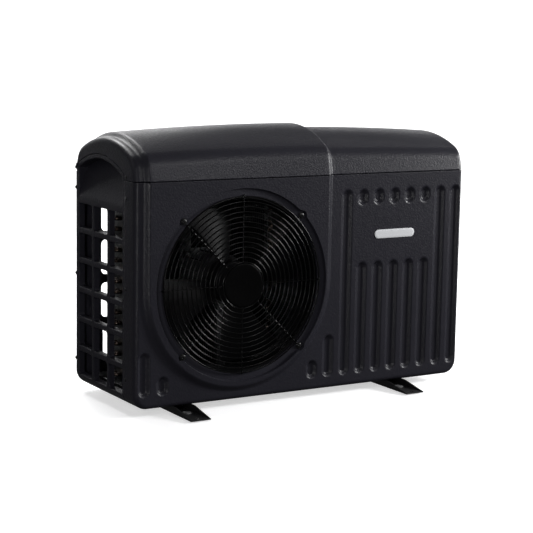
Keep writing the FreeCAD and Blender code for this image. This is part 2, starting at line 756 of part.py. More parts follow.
def evaporator_end_plates():
    x1 = FIN_X0 + FIN_PITCH * FIN_COUNT
    plates = []
    ys = (FIN_Y[0] - 4, PAN_HALF_Y - PAN_T - 0.3)
    zs = (Z0 + PAN_T, FIN_Z[1] + 6)
    for x in (FIN_X0 - 4, x1 + 1):
        plates.append(drilled_sheet(x, 1.5, ys, zs, TUBE_R + 0.3))
    return group(plates)


def evaporator_tubes():
    """Hairpins open to the right, joined there by return bends into one circuit."""
    x_left = FIN_X0 - 8
    x_right = FIN_X0 + FIN_PITCH * FIN_COUNT + 10
    bend = (TUBE_Y[1] - TUBE_Y[0]) / 2
    solids = []
    pins = []
    for z in TUBE_Z:
        path = Part.Wire([
            line((x_right, TUBE_Y[0], z), (x_left, TUBE_Y[0], z)),
            arc((x_left, TUBE_Y[0], z), (x_left - bend, TUBE_Y[0] + bend, z), (x_left, TUBE_Y[1], z)),
            line((x_left, TUBE_Y[1], z), (x_right, TUBE_Y[1], z)),
        ])
        circle = Part.Wire(Part.makeCircle(TUBE_R, V(x_right, TUBE_Y[0], z), AX["x"]))
        pins.append(path.makePipeShell([circle], True, False))
    solids += pins
    for i in range(len(TUBE_Z) - 1):
        y = TUBE_Y[1] if i % 2 == 0 else TUBE_Y[0]
        za = TUBE_Z[i]
        zb = TUBE_Z[i + 1]
        half = (zb - za) / 2
        path = Part.Wire([arc((x_right, y, za), (x_right + half, y, za + half), (x_right, y, zb))])
        circle = Part.Wire(Part.makeCircle(TUBE_R, V(x_right, y, za), AX["x"]))
        solids.append(path.makePipeShell([circle], True, False))
    return group(solids)


def divider():
    """Upright sheet between the air side and the compressor side."""
    sheet = block(DIVIDER_X, DIVIDER_X + 1.5, -146, 146, Z0 + PAN_T, 540)
    foot = block(DIVIDER_X, DIVIDER_X + 14, -146, 146, Z0 + PAN_T, Z0 + PAN_T + 1.5)
    ends = [(TUBE_Y[0], TUBE_Z[0]), (TUBE_Y[1], TUBE_Z[-1])]
    holes = [rod(DIVIDER_X - 2, y, z, 8, 8, "x") for y, z in ends]
    return sheet.fuse(foot).cut(group(holes))


# ---- refrigerant side ---------------------------------------------------------------
def compressor():
    """Welded shell with a domed top, a foot plate and two stubs."""
    outer = rod(COMP_X, COMP_Y, COMP_Z0, COMP_R, COMP_Z1 - COMP_Z0)
    dome = Part.makeSphere(COMP_R * 1.25, V(COMP_X, COMP_Y, COMP_Z1 - 56.2)).common(
        rod(COMP_X, COMP_Y, COMP_Z1 - 2, COMP_R, 60))
    core = rod(COMP_X, COMP_Y, COMP_Z0 + 4, COMP_R - 4, COMP_Z1 - COMP_Z0 - 8)
    plate = hexagon(0, 0, COMP_Z0 - 6, 172, 4)
    plate.rotate(V(0, 0, 0), AX["z"], 30)
    plate.translate(V(COMP_X, COMP_Y, 0))
    neck = rod(COMP_X, COMP_Y, COMP_Z0 - 3, COMP_R - 12, 6)
    cap = rod(COMP_X - 30, COMP_Y - 20, COMP_Z1 + 8, 16, 34)
    stub = rod(COMP_X, COMP_Y, COMP_Z1 + 20, 9, 30)
    body = fuse([outer, dome, plate, neck, cap, stub]).cut(core)
    return body.cut(group([rod(x, y, COMP_Z0 - 10, 6.3, 12) for x, y in grommet_places()]))


def grommet_places():
    places = []
    for i in range(3):
        a = math.radians(90 + 120 * i)
        places.append((COMP_X + GROMMET_R * math.cos(a), COMP_Y + GROMMET_R * math.sin(a)))
    return places


def compressor_core():
    """Motor and pump block inside the welded shell."""
    stack = rod(COMP_X, COMP_Y, 170, 62, 90)
    pump = rod(COMP_X, COMP_Y, 60, 60, 60)
    spindle = rod(COMP_X, COMP_Y, 100, 12, 175)
    return fuse([stack, pump, spindle])


def compressor_grommets():
    grommets = []
    for x, y in grommet_places():
        low = rod(x, y, Z0 + PAN_T, 11, COMP_Z0 - 6 - Z0 - PAN_T)
        neck = rod(x, y, COMP_Z0 - 7, 6.0, 6)
        high = rod(x, y, COMP_Z0 - 2, 10, 4)
        grommets.append(fuse([low, neck, high]).cut(rod(x, y, 0, 3.5, 60)))
    return group(grommets)


def compressor_bolts():
    bolts = []
    for x, y in grommet_places():
        bolts.append(rod(x, y, Z0 + PAN_T, 3.0, 28).fuse(hexagon(x, y, COMP_Z0 + 2, 10, 5)))
    return group(bolts)


def accumulator():
    body = rod(ACC_X, ACC_Y, 120, ACC_R, 150)
    body = body.makeFillet(12, [e for e in body.Edges if e.Closed])
    shell = body.cut(rod(ACC_X, ACC_Y, 134, ACC_R - 3, 122))
    foot = block(ACC_X - 14, ACC_X + 14, ACC_Y - 3, ACC_Y, Z0 + PAN_T, 124)
    return shell.fuse(foot)


def four_way_valve():
    body = rod(150, 60, 386, 15, 110, "x")
    caps = [rod(146, 60, 386, 12, 6, "x"), rod(258, 60, 386, 12, 6, "x")]
    coil = rod(205, 60, 399, 13, 24)
    stubs = [rod(COMP_X + dx, 60, 368, 8.5, 12) for dx in (-26, 0, 26)]
    return fuse([body] + caps + [coil] + stubs)


def refrigerant_pipes():
    """Discharge, suction, coil, exchanger and liquid lines."""
    top = COMP_Z1 + 50.3
    coil_x = FIN_X0 + FIN_PITCH * FIN_COUNT + 10.3
    routes = [
        ([(COMP_X, COMP_Y, top), (COMP_X, COMP_Y, 362), (COMP_X, 60, 362), (COMP_X, 60, 367.7)], 5.0, 5.0),
        ([(COMP_X - 26, 60, 367.7), (COMP_X - 26, 60, 330), (ACC_X, ACC_Y, 330),
          (ACC_X, ACC_Y, 270.3)], 6.5, 12.0),
        ([(COMP_X + 26, 60, 367.7), (COMP_X + 26, 60, 345), (300, 60, 345), (300, 60, 505), (HX_X, 60, 505),
          (HX_X, 60, HX_Z1 + 12.3)], 6.5, 11.0),
        ([(145.7, 60, 386), (110, 60, 386), (110, 60, TUBE_Z[-1]), (110, TUBE_Y[1], TUBE_Z[-1]),
          (coil_x, TUBE_Y[1], TUBE_Z[-1])], 4.2, 8.0),
        ([(HX_X, 60, HX_Z0 - 0.3), (HX_X, 60, 31), (HX_X, 20, 31), (VALVE_X + 18.3, 20, 31)], 4.0, 4.5),
        ([(VALVE_X - 0.3, 20, 31), (104, 20, 31), (104, TUBE_Y[0], 31), (104, TUBE_Y[0], TUBE_Z[0]),
          (coil_x, TUBE_Y[0], TUBE_Z[0])], 4.0, 5.0),
    ]
    return group([pipe(points, r, bend) for points, r, bend in routes])


def expansion_valve():
    stem_x = VALVE_X + 7
    body = rod(VALVE_X, 20, 31, 7.5, 18, "x")
    coil = rod(stem_x, 20, 38, 12, 24)
    return fuse([body, coil, rod(stem_x, 20, 31, 6, 10)])


def exchanger_shell():
    """Moulded water vessel with two threaded ports through the rear panel."""
    outer = rod(HX_X, HX_Y, HX_Z0, HX_R, HX_Z1 - HX_Z0)
    inner = rod(HX_X, HX_Y, HX_Z0 + 5, HX_R - 5, HX_Z1 - HX_Z0 - 10)
    bands = [ring(HX_X, HX_Y, z, HX_R + 4, HX_R - 1, 14) for z in (HX_Z0 + 8, HX_Z1 - 22)]
    ports = [rod(HX_X, HX_Y + 30, z, PORT_R, PORT_Y1 - HX_Y - 30, "y") for z in PORT_Z]
    threads = []
    for z in PORT_Z:
        for i in range(3):
            threads.append(ring(HX_X, PORT_Y1 - 11 + 3.2 * i, z, PORT_R - 0.01, PORT_R - 0.9, 1.4, "y"))
    bores = [rod(HX_X, HX_Y, z, 22, 150, "y") for z in PORT_Z]
    glands = [rod(HX_X, 60, HX_Z1 - 1, 11, 13), rod(HX_X, 60, HX_Z0, 9, 4)]
    feet = [block(HX_X - 45, HX_X + 45, HX_Y - 8, HX_Y + 8, Z0 + PAN_T, HX_Z0 + 2)]
    shell = fuse([outer] + bands + ports + glands).cut(inner)
    shell = shell.cut(group(bores)).cut(group(threads))
    return shell.fuse(feet[0].cut(rod(HX_X, 60, 0, 16, 60)))


def titanium_coil():
    """Coiled tube inside the water vessel."""
    path = Part.makeHelix(COIL_PITCH, COIL_PITCH * COIL_TURNS, COIL_R)
    profile = Part.Wire(Part.makeCircle(COIL_TUBE_R, V(COIL_R, 0, 0), V(0, 1, 0)))
    coil = Part.Wire(path).makePipeShell([profile], True, True)
    coil.translate(V(HX_X, HX_Y, COIL_Z0))
    return coil


def exchanger_straps():
    straps = []
    for z in (180, 340):
        band = ring(HX_X, HX_Y, z, HX_R + 2.3, HX_R + 0.3, 18)
        ear = block(HX_X + HX_R + 1.5, HX_X + HX_R + 18, HX_Y - 1.5, HX_Y + 1.5, z, z + 18)
        straps.append(band.fuse(ear))
    return group(straps)


def union_nut(z):
    """Captive nut with finger ribs that draws the tail onto the port."""
    nut = ring(0, 0, 0, 36.0, PORT_R + NUT_GAP, 19.5)
    lip = ring(0, 0, 19.5, 36.0, 27.0 + NUT_GAP, 4.5)
    ribs = []
    for i in range(12):
        rib = block(34.5, 39.5, -3.0, 3.0, 1.5, 22)
        rib.rotate(V(0, 0, 0), V(0, 0, 1), 30 * i)
        ribs.append(rib)
    body = fuse([nut, lip]).multiFuse(ribs)
    body.rotate(V(0, 0, 0), V(1, 0, 0), -90)
    body.translate(V(HX_X, 172.2, z))
    return body


def union_tail(z):
    """Plain-socket tail that the pool pipe is glued into."""
    flange = rod(HX_X, PORT_Y1 + 1.3, z, PORT_R - 0.3, 4.0, "y")
    barrel = rod(HX_X, PORT_Y1 + 5, z, 27.0, TAIL_Y1 - PORT_Y1 - 5, "y")
    lead = ring(HX_X, TAIL_Y1 - 3, z, 29.0, 26.0, 3, "y")
    body = fuse([flange, barrel, lead]).cut(rod(HX_X, PORT_Y1, z, 21.0, 60, "y"))
    return body.cut(rod(HX_X, TAIL_Y1 - SOCKET_LENGTH, z, SOCKET_R, SOCKET_LENGTH + 1, "y"))


def union_seals():
    return group([ring(HX_X, PORT_Y1, z, 28.0, 23.5, 1.3, "y") for z in PORT_Z])


# ---- electrics ----------------------------------------------------------------------
def electrical_box():
    x0, x1, y0, y1, z0, z1 = EBOX
    inner = block(x0 + 1.2, x1 - 1.2, y0 - 1, y1 - 1.2, z0 + 1.2, z1 - 1.2)
    tray = block(x0, x1, y0, y1, z0, z1).cut(inner)
    return tray.cut(rod(GLAND_X, y1 - 5, GLAND_Z, 9, 10, "y"))


def electrical_box_lid():
    x0, x1, y0, y1, z0, z1 = EBOX
    plate = block(x0, x1, y0 - 1.5, y0 - 0.2, z0, z1)
    lip = block(x0 + 20, x1 - 20, y0 - 5, y0 - 1.5, z0 + 20, z0 + 24)
    return plate.fuse(lip)


def control_board():
    x0, x1, y0, y1, z0, z1 = EBOX
    board = block(x0 + 12, x0 + 190, y1 - 14, y1 - 12.4, z0 + 12, z1 - 12)
    parts = [board]
    for i in range(4):
        a = x0 + 22 + 42 * i
        b = x0 + 24 + 34 * i
        parts.append(block(a, a + 24, y1 - 26, y1 - 14, z0 + 30, z0 + 58))
        parts.append(block(b, b + 20, y1 - 32, y1 - 14, z0 + 80, z0 + 108))
    return fuse(parts)


def terminal_block():
    x0, x1, y0, y1, z0, z1 = EBOX
    bar = block(x1 - 110, x1 - 20, y1 - 26, y1 - 3, z0 + 20, z0 + 46)
    wells = [rod(x1 - 100 + 17.5 * i, y1 - 27, z0 + 33, 4, 8, "y") for i in range(5)]
    return bar.cut(group(wells))


def run_capacitor():
    x0, x1, y0, y1, z0, z1 = EBOX
    can = rod(x1 - 70, y0 + 32, z0 + 66, 20, 58)
    return can


def cable_gland():
    """Screwed gland for the supply cable in the rear panel."""
    body = rod(0, 0, -8, 8.1, 14).fuse(hexagon(0, 0, 0.2, 22, 6))
    dome = Part.makeCone(10.0, 8.2, 12, V(0, 0, 6), AX["z"])
    lock = hexagon(0, 0, -8, 22, 4.7)
    shape = fuse([body, dome, lock]).cut(rod(0, 0, -10, 6.5, 40))
    shape.rotate(V(0, 0, 0), V(1, 0, 0), -90)
    shape.translate(V(GLAND_X, YR, GLAND_Z))
    return shape


def drain_nozzle():
    """Spout in the pan for the water that drips from the coil."""
    shape = fuse([rod(DRAIN_X, DRAIN_Y, 6, 8.0, 18), rod(DRAIN_X, DRAIN_Y, Z0 + PAN_T, 14, 3),
                  rod(DRAIN_X, DRAIN_Y, Z0 - 3, 12, 3), rod(DRAIN_X, DRAIN_Y, Z0 - 3, 9.0, 6)])
    return shape.cut(rod(DRAIN_X, DRAIN_Y, 0, 5.5, 60))


def badge():
    """Blank plate on the plain area between the grooves."""
    outline = stadium(0, -BADGE_LENGTH / 2, BADGE_LENGTH / 2, BADGE_HEIGHT, 0)
    plate = Part.Face(outline).extrude(V(0, -1.5, 0))
    plate.rotate(V(0, 0, 0), V(0, 1, 0), 90)
    plate.translate(V(BADGE_X, YF, BADGE_Z))
    return plate


NODES = {
    "front_panel": front_panel,
    "rear_panel": rear_panel,
    "top_cover": top_cover,
    "left_panel": lambda: side_panel(-1, True),
    "right_panel": lambda: side_panel(1, False),
    "base_pan": base_pan,
    "left_foot_rail": lambda: foot_rail(RAIL_X[0]),
    "right_foot_rail": lambda: foot_rail(RAIL_X[1]),
    "rail_pads": rail_pads,
    "rail_bolts": rail_bolts,
    "panel_screws": panel_screws,
    "cover_screws": cover_screws,
    "guard_rings": guard_rings,
    "guard_spokes": guard_spokes,
    "guard_cap": guard_cap,
    "guard_screws": guard_screws,
    "fan_shroud": fan_shroud,
    "fan_rotor": fan_rotor,
    "fan_nut": fan_nut,
    "motor_shaft": motor_shaft,
    "fan_motor": fan_motor,
    "motor_bracket": motor_bracket,
    "motor_bolts": motor_bolts,
    "evaporator_fins": evaporator_fins,
    "evaporator_tubes": evaporator_tubes,
    "evaporator_end_plates": evaporator_end_plates,
    "divider": divider,
    "compressor": compressor,
    "compressor_core": compressor_core,
    "compressor_grommets": compressor_grommets,
    "compressor_bolts": compressor_bolts,
    "accumulator": accumulator,
    "four_way_valve": four_way_valve,
    "refrigerant_pipes": refrigerant_pipes,
    "expansion_valve": expansion_valve,
    "exchanger_shell": exchanger_shell,
    "titanium_coil": titanium_coil,
    "exchanger_straps": exchanger_straps,
    "inlet_union_nut": lambda: union_nut(PORT_Z[0]),
    "outlet_union_nut": lambda: union_nut(PORT_Z[1]),
    "inlet_tail": lambda: union_tail(PORT_Z[0]),
    "outlet_tail": lambda: union_tail(PORT_Z[1]),
    "union_seals": union_seals,
    "electrical_box": electrical_box,
    "electrical_box_lid": electrical_box_lid,
    "control_board": control_board,
    "terminal_block": terminal_block,
    "run_capacitor": run_capacitor,
    "cable_gland": cable_gland,
    "drain_nozzle": drain_nozzle,
    "badge": badge,
}


def main():
    os.makedirs("parts", exist_ok=True)
    for name, make in NODES.items():
        shape = make()
        solids = shape.Solids
        good = shape.isValid() and all(s.Volume > 0 for s in solids)
        box = shape.BoundBox
        print("%-24s %3d solids %10.0f mm3 valid=%s  x %.1f %.1f  y %.1f %.1f  z %.1f %.1f" % (
            name, len(solids), sum(s.Volume for s in solids), good,
            box.XMin, box.XMax, box.YMin, box.YMax, box.ZMin, box.ZMax))
        shape.exportStep("parts/%s.step" % name)


if __name__ == "__main__":
    main()
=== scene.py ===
import json
import math

import bmesh
import bpy
import numpy as np
from bpy.props import FloatProperty, FloatVectorProperty, IntProperty, PointerProperty
from mathutils import Matrix, Vector


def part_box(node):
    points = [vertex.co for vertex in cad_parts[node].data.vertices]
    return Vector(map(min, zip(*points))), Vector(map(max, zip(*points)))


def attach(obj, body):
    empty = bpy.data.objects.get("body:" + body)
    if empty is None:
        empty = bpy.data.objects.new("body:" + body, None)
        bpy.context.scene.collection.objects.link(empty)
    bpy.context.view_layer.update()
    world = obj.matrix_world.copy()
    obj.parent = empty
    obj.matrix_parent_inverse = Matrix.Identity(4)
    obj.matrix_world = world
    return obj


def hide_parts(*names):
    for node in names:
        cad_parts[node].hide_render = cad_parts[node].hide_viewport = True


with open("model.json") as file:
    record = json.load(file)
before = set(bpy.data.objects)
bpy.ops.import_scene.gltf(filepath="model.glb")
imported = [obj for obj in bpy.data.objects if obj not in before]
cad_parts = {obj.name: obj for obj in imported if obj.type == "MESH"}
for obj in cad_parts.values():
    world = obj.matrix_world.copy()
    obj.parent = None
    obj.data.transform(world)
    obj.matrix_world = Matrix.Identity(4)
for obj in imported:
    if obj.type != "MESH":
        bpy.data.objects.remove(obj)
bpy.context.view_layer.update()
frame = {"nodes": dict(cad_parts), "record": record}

bl_info = {
    "name": "Pool heat pump looks",
    "version": (1, 0, 0),
    "blender": (4, 5, 0),
    "location": "View3D > Sidebar > Heat pump",
    "description": "Builds the moulded case, guard, fan and finishes of a pool heat pump round its CAD frame",
    "category": "Object",
}

MM = 0.001


def frame_box(node):
    """Lowest and highest corner of a CAD node, in millimetres."""
    low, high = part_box(node)
    return np.array(low) / MM, np.array(high) / MM


# ---- sizes, in millimetres: some taken from the frame, the rest given -----------------
FRONT_LOW, FRONT_HIGH = frame_box("front_panel")
COVER_LOW, COVER_HIGH = frame_box("top_cover")
SIDE_LOW, SIDE_HIGH = frame_box("left_panel")
REAR_LOW, REAR_HIGH = frame_box("rear_panel")
RINGS_LOW, RINGS_HIGH = frame_box("guard_rings")
CAP_LOW, CAP_HIGH = frame_box("guard_cap")
ROTOR_LOW, ROTOR_HIGH = frame_box("fan_rotor")
HUB_FRONT = ROTOR_LOW[1]
HUB_BACK = ROTOR_HIGH[1]
HUB_R = 52.0
TIP_R = (ROTOR_HIGH[0] - ROTOR_LOW[0]) / 2
BADGE_LOW, BADGE_HIGH = frame_box("badge")

BELT_RISE = 10.0                       # how far the raised belt stands proud
HALF_LENGTH = FRONT_HIGH[0]
FRONT_Y = FRONT_LOW[1] + BELT_RISE
REAR_Y = REAR_HIGH[1] - BELT_RISE
RETURN_FRONT_Y = FRONT_HIGH[1]
RETURN_REAR_Y = REAR_LOW[1]
BOTTOM_Z = FRONT_LOW[2]
PANEL_TOP = FRONT_HIGH[2]
COVER_Z = COVER_LOW[2]
WALL = 3.0
CORNER_R = 12.0                        # upright corners
BOTTOM_R = 35.0                        # lower corners seen from the front
EDGE_R = 1.0                           # softened rims of the mouldings

PANEL_WALL = 2.2                       # side panels
CREASE = 40.0                          # edges sharper than this, in degrees, stay sharp
QUARTER = [math.radians(18 * i) for i in range(6)]   # steps round a quarter turn

FAN_X = (RINGS_LOW[0] + RINGS_HIGH[0]) / 2
FAN_Z = (RINGS_LOW[2] + RINGS_HIGH[2]) / 2
BELT_X = FAN_X - 6.0
BELT_OUT = 257.0
BELT_IN = 240.0
OPENING_R = 211.0
LEDGE_R = 229.0
LEDGE_Y = FRONT_Y - 2.0
LEDGE_WALL = 2.0
EAR_R = 11.0
EAR_BLEND = 5.0                        # softening where an ear meets the ledge
GUARD_SCREW_R = 225.0
GUARD_SCREW_HEAD_R = 6.4
GUARD_SCREW_SHANK_R = 1.9
GUARD_SCREWS = [(FAN_X + GUARD_SCREW_R * math.cos(a), FAN_Z + GUARD_SCREW_R * math.sin(a))
                for a in (math.radians(45 + 90 * quarter) for quarter in range(4))]

GROOVE_W = 34.0
GROOVE_PITCH = 47.0
GROOVE_LAST_X = 440.0
GROOVE_BOTTOM = 48.0
GROOVE_TOP = 514.0
OVAL_BOTTOM = 470.5
LOWER_TOP = 333.0
MEDIUM_TOP = 157.0
SHORT_TOP = 97.0

CROWN_DROP = 16.0
CROWN_Z = COVER_HIGH[2] - BELT_RISE
SHOULDER_HALF = 158.5
SHOULDER_Z = 600.0
SHOULDER_DROP = 8.0

SIDE_SPRING_Z = 565.0
SIDE_PEAK_Z = SIDE_HIGH[2]
SIDE_Y0 = SIDE_LOW[1]
SIDE_Y1 = SIDE_HIGH[1]
SIDE_YC = (SIDE_Y0 + SIDE_Y1) / 2
POCKET_Y0 = SIDE_Y0 + 7.0
POCKET_Y1 = SIDE_Y1 - 10.0
POCKET_Z0 = 487.0
POCKET_DEEP_Z = 587.0
POCKET_DEPTH = 38.0
GRILLE_W = 75.0
GRILLE_H = 60.0
GRILLE_Y = [-65.0, 20.4, 105.7]
GRILLE_Z = [77.3 + 73.1 * i for i in range(6)]
GRILLE_MARGIN = 36.55                  # from the outer rows' middles to the edge of their cells
REAR_OPEN_W = 80.0
REAR_OPEN_H = 88.0
REAR_COLUMNS = [-353.0 + 90.0 * i for i in range(5)]
REAR_ROWS = [114.5 + 108.0 * i for i in range(4)]
PORT_X = 370.0
PORT_ZS = [130.0, 410.0]
PORT_HOLE_R = 33.0
PORT_CELL = 45.0                       # half of a port's cell in the rear panel's mesh
GLAND = (250.0, 470.0)
GLAND_HOLE_R = 8.4
GLAND_CELL = 20.0


# ---- mesh helpers ---------------------------------------------------------------------
def ease(t):
    """S-curve from 0 to 1."""
    t = np.clip(t, 0.0, 1.0)
    return t * t * (3.0 - 2.0 * t)


def full_turn(steps):
    """Evenly spaced angles all the way round."""
    return np.linspace(0, 2 * math.pi, steps, endpoint=False)


def spaced(stops, step):
    """Rising values through all the stops, no further apart than step."""
    values = [stops[0]]
    for a, b in zip(stops, stops[1:]):
        n = max(1, math.ceil((b - a) / step - 1e-6))
        values += [a + (b - a) * (i + 1) / n for i in range(n)]
    return np.array(values)


class Sheet:
    """Grids of points that are welded into one surface."""

    def __init__(self):
        self.points = []
        self.quads = []
        self.count = 0

    def grid(self, p, closed=False, keep=None):
        rows, cols = p.shape[:2]
        index = np.arange(rows * cols).reshape(rows, cols) + self.count
        if closed:
            index = np.concatenate([index, index[:, :1]], axis=1)
        quads = np.stack([index[:-1, :-1], index[:-1, 1:], index[1:, 1:], index[1:, :-1]], axis=-1)
        if keep is not None:
            quads = quads[keep]
        self.points.append(p.reshape(-1, 3))
        self.quads.append(quads.reshape(-1, 4))
        self.count += rows * cols

    def mesh(self, name, outward, weld=0.02):
        """Welds the grids and turns every face the way that outward points."""
        data = bpy.data.meshes.new(name)
        data.from_pydata((np.concatenate(self.points) * MM).tolist(), [], np.concatenate(self.quads).tolist())
        work = bmesh.new()
        work.from_mesh(data)
        bmesh.ops.remove_doubles(work, verts=work.verts, dist=weld * MM)
        bmesh.ops.dissolve_degenerate(work, edges=work.edges, dist=0.001 * MM)
        bmesh.ops.recalc_face_normals(work, faces=work.faces)
        total = Vector()
        for face in work.faces:
            total += face.normal * face.calc_area()
        if total.dot(Vector(outward)) < 0:
            bmesh.ops.reverse_faces(work, faces=work.faces)
        work.to_mesh(data)
        work.free()
        return data


def place(name, data, body, nodes, material, thickness=0.0):
    """Puts a finished mesh in the scene, on its body, in place of the CAD nodes that it stands for.

    With a thickness, in millimetres, the mesh is an outer skin that gets a wall behind it.
    """
    piece = bpy.data.objects.new(name, data)
    bpy.context.scene.collection.objects.link(piece)
    if thickness:
        wall = piece.modifiers.new("Wall", "SOLIDIFY")
        wall.thickness = thickness * MM
        wall.offset = -1.0
        bpy.context.view_layer.update()
        solid = bpy.data.meshes.new_from_object(piece.evaluated_get(bpy.context.evaluated_depsgraph_get()))
        piece.modifiers.clear()
        piece.data = solid
    piece.data.polygons.foreach_set("use_smooth", [True] * len(piece.data.polygons))
    piece.data.set_sharp_from_angle(angle=math.radians(CREASE))
    piece.data.materials.clear()
    piece.data.materials.append(material)
    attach(piece, body)
    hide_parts(*nodes)
    return piece


def revolve(profile, centre, axis, steps=96):
    """Points of a turned shape: the profile holds radius and height along the axis."""
    turn = full_turn(steps)
    r = np.array([p[0] for p in profile])[:, None]
    h = np.array([p[1] for p in profile])[:, None] + 0 * turn[None, :]
    a = r * np.cos(turn)
    b = r * np.sin(turn)
    order = {"x": (h, a, b), "y": (a, h, b), "z": (a, b, h)}[axis]
    return np.stack(order, axis=-1) + np.array(centre)


def circle(x, y, z, radius, turn):
    """Points of a circle that faces the front."""
    return np.stack([x + radius * np.cos(turn), 0 * turn + y, z + radius * np.sin(turn)], axis=-1)


def tube(path, radius, sides=12, closed=False):
    """Round wire along a list of points."""
    path = np.array(path, float)
    if closed:
        ahead = np.roll(path, -1, axis=0) - np.roll(path, 1, axis=0)
    else:
        ahead = np.gradient(path, axis=0)
    ahead /= np.linalg.norm(ahead, axis=1)[:, None]
    side = np.cross(ahead, np.array([0.0, 1.0, 0.0]))
    side /= np.linalg.norm(side, axis=1)[:, None]
    up = np.cross(side, ahead)
    turn = full_turn(sides)
    ring = side[:, None, :] * np.cos(turn)[None, :, None] + up[:, None, :] * np.sin(turn)[None, :, None]
    points = path[:, None, :] + ring * np.reshape(radius, (-1, 1, 1))
    if closed:
        points = np.concatenate([points, points[:1]])
    return points


def outline_distance(x, z, cx, cz, half_w, half_h, radius):
    """Distance from a rounded rectangle, negative inside it."""
    dx = np.abs(x - cx) - (half_w - radius)
    dz = np.abs(z - cz) - (half_h - radius)
    outside = np.hypot(np.maximum(dx, 0), np.maximum(dz, 0))
    return outside + np.minimum(np.maximum(dx, dz), 0) - radius


def along_rays(distance, centre, border, levels):
    """For every border point, the places on its ray from the centre where the distance has each level."""
    ray = border - centre
    length = np.linalg.norm(ray, axis=1)
    ray = ray / length[:, None]
    rows = []
    for level in levels:
        low = np.zeros(len(border))
        high = length.copy()
        for _ in range(40):
            mid = (low + high) / 2
            p = centre + ray * mid[:, None]
            inside = distance(p[:, 0], p[:, 1]) < level
            low = np.where(inside, mid, low)
            high = np.where(inside, high, mid)
        rows.append(centre + ray * low[:, None])
    return np.array(rows)


def rim_levels(lip, flange, draft=0.4):
    """Offsets from a hole's edge and their depths: down the flange and round the lip to the face."""
    rows = [(-draft, flange), (-draft / 2, (flange + lip) / 2)]
    rows += [(lip * (1 - math.cos(a)), lip * (1 - math.sin(a))) for a in QUARTER]
    return rows


def cell_border(low_row, high_row, low_col, high_col):
    """Grid places round a cell, in order."""
    loop = [(low_row, j) for j in range(low_col, high_col)]
    loop += [(i, high_col) for i in range(low_row, high_row)]
    loop += [(high_row, j) for j in range(high_col, low_col, -1)]
    loop += [(i, low_col) for i in range(high_row, low_row, -1)]
    return loop


def pierced_face(sheet, us, vs, cells, put, corner=None):
    """A face over the lines us and vs with a hole in every cell.

    A cell is (u0, u1, v0, v1, distance, levels, rows): levels hold an offset from the hole and its
    depth, and rows says how many steps lead from there to the cell's border.
    """
    u, v = np.meshgrid(us, vs)
    if corner is not None:
        u, v = corner(u, v)
    keep = np.ones((len(vs) - 1, len(us) - 1), bool)
    for u0, u1, v0, v1, distance, levels, rows in cells:
        c0, c1 = (int(np.argmin(np.abs(us - value))) for value in (u0, u1))
        r0, r1 = (int(np.argmin(np.abs(vs - value))) for value in (v0, v1))
        keep[r0:r1, c0:c1] = False
        loop = cell_border(r0, r1, c0, c1)
        border = np.array([(u[i, j], v[i, j]) for i, j in loop])
        centre = np.array(distance.centre)
        near = along_rays(distance, centre, border, [level for level, _ in levels])
        steps = np.linspace(0, 1, rows + 1)[1:, None, None]
        far = near[-1][None] + (border - near[-1])[None] * steps
        points = np.concatenate([near, far])
        depth = np.array([d for _, d in levels] + [0.0] * rows)[:, None] + 0 * points[:, :, 0]
        sheet.grid(put(points[:, :, 0], points[:, :, 1], depth), closed=True)
    sheet.grid(put(u, v, 0 * u), keep=keep)
    return u, v


class Hole:
    """Distance from a rounded opening, negative inside it."""

    def __init__(self, cx, cz, half_w, half_h, radius):
        self.centre = (cx, cz)
        self.size = (half_w, half_h, radius)

    def __call__(self, x, z):
        return outline_distance(x, z, self.centre[0], self.centre[1], *self.size)


def round_hole(cx, cz, radius):
    """Round opening."""
    return Hole(cx, cz, radius, radius, radius - 0.01)


# ---- materials ------------------------------------------------------------------------
def start_material(name, colour, roughness, metallic=0.0, specular=0.5):
    """Node material with its even values set on the shader itself."""
    material = bpy.data.materials.new(name)
    material.use_nodes = True
    tree = material.node_tree
    shader = tree.nodes["Principled BSDF"]
    shader.inputs["Base Color"].default_value = (*colour, 1.0)
    shader.inputs["Roughness"].default_value = roughness
    shader.inputs["Metallic"].default_value = metallic
    shader.inputs["Specular IOR Level"].default_value = specular
    return material, tree, shader


def node(tree, kind, **values):
    """New shader node with even values on its inputs."""
    made = tree.nodes.new(kind)
    for key, value in values.items():
        made.inputs[key].default_value = value
    return made


def noise(tree, scale, detail=3.0, stretch=(1.0, 1.0, 1.0)):
    """Noise over the object's own coordinates, stretched along its axes."""
    where = node(tree, "ShaderNodeTexCoord")
    fit = node(tree, "ShaderNodeMapping", Scale=stretch)
    speckle = node(tree, "ShaderNodeTexNoise", Scale=scale, Detail=detail)
    tree.links.new(where.outputs["Object"], fit.inputs["Vector"])
    tree.links.new(fit.outputs["Vector"], speckle.inputs["Vector"])
    return speckle.outputs["Fac"]


def spread(tree, factor, low, high, start=0.3, end=0.7):
    """Maps a noise value to a range."""
    fit = node(tree, "ShaderNodeMapRange")
    fit.inputs["From Min"].default_value = start
    fit.inputs["From Max"].default_value = end
    fit.inputs["To Min"].default_value = low
    fit.inputs["To Max"].default_value = high
    tree.links.new(factor, fit.inputs["Value"])
    return fit.outputs["Result"]


def two_tones(tree, factor, dark, light):
    """Blends two colours over the middle of a noise value's range."""
    ramp = node(tree, "ShaderNodeValToRGB")
    ramp.color_ramp.elements[0].position = 0.3
    ramp.color_ramp.elements[0].color = (*dark, 1.0)
    ramp.color_ramp.elements[1].position = 0.7
    ramp.color_ramp.elements[1].color = (*light, 1.0)
    tree.links.new(factor, ramp.inputs["Fac"])
    return ramp.outputs["Color"]


def rough_skin(tree, shader, factor, strength, distance):
    """Raises the surface by a noise value, by up to the distance, in metres."""
    bump = node(tree, "ShaderNodeBump", Strength=strength, Distance=distance)
    tree.links.new(factor, bump.inputs["Height"])
    tree.links.new(bump.outputs["Normal"], shader.inputs["Normal"])


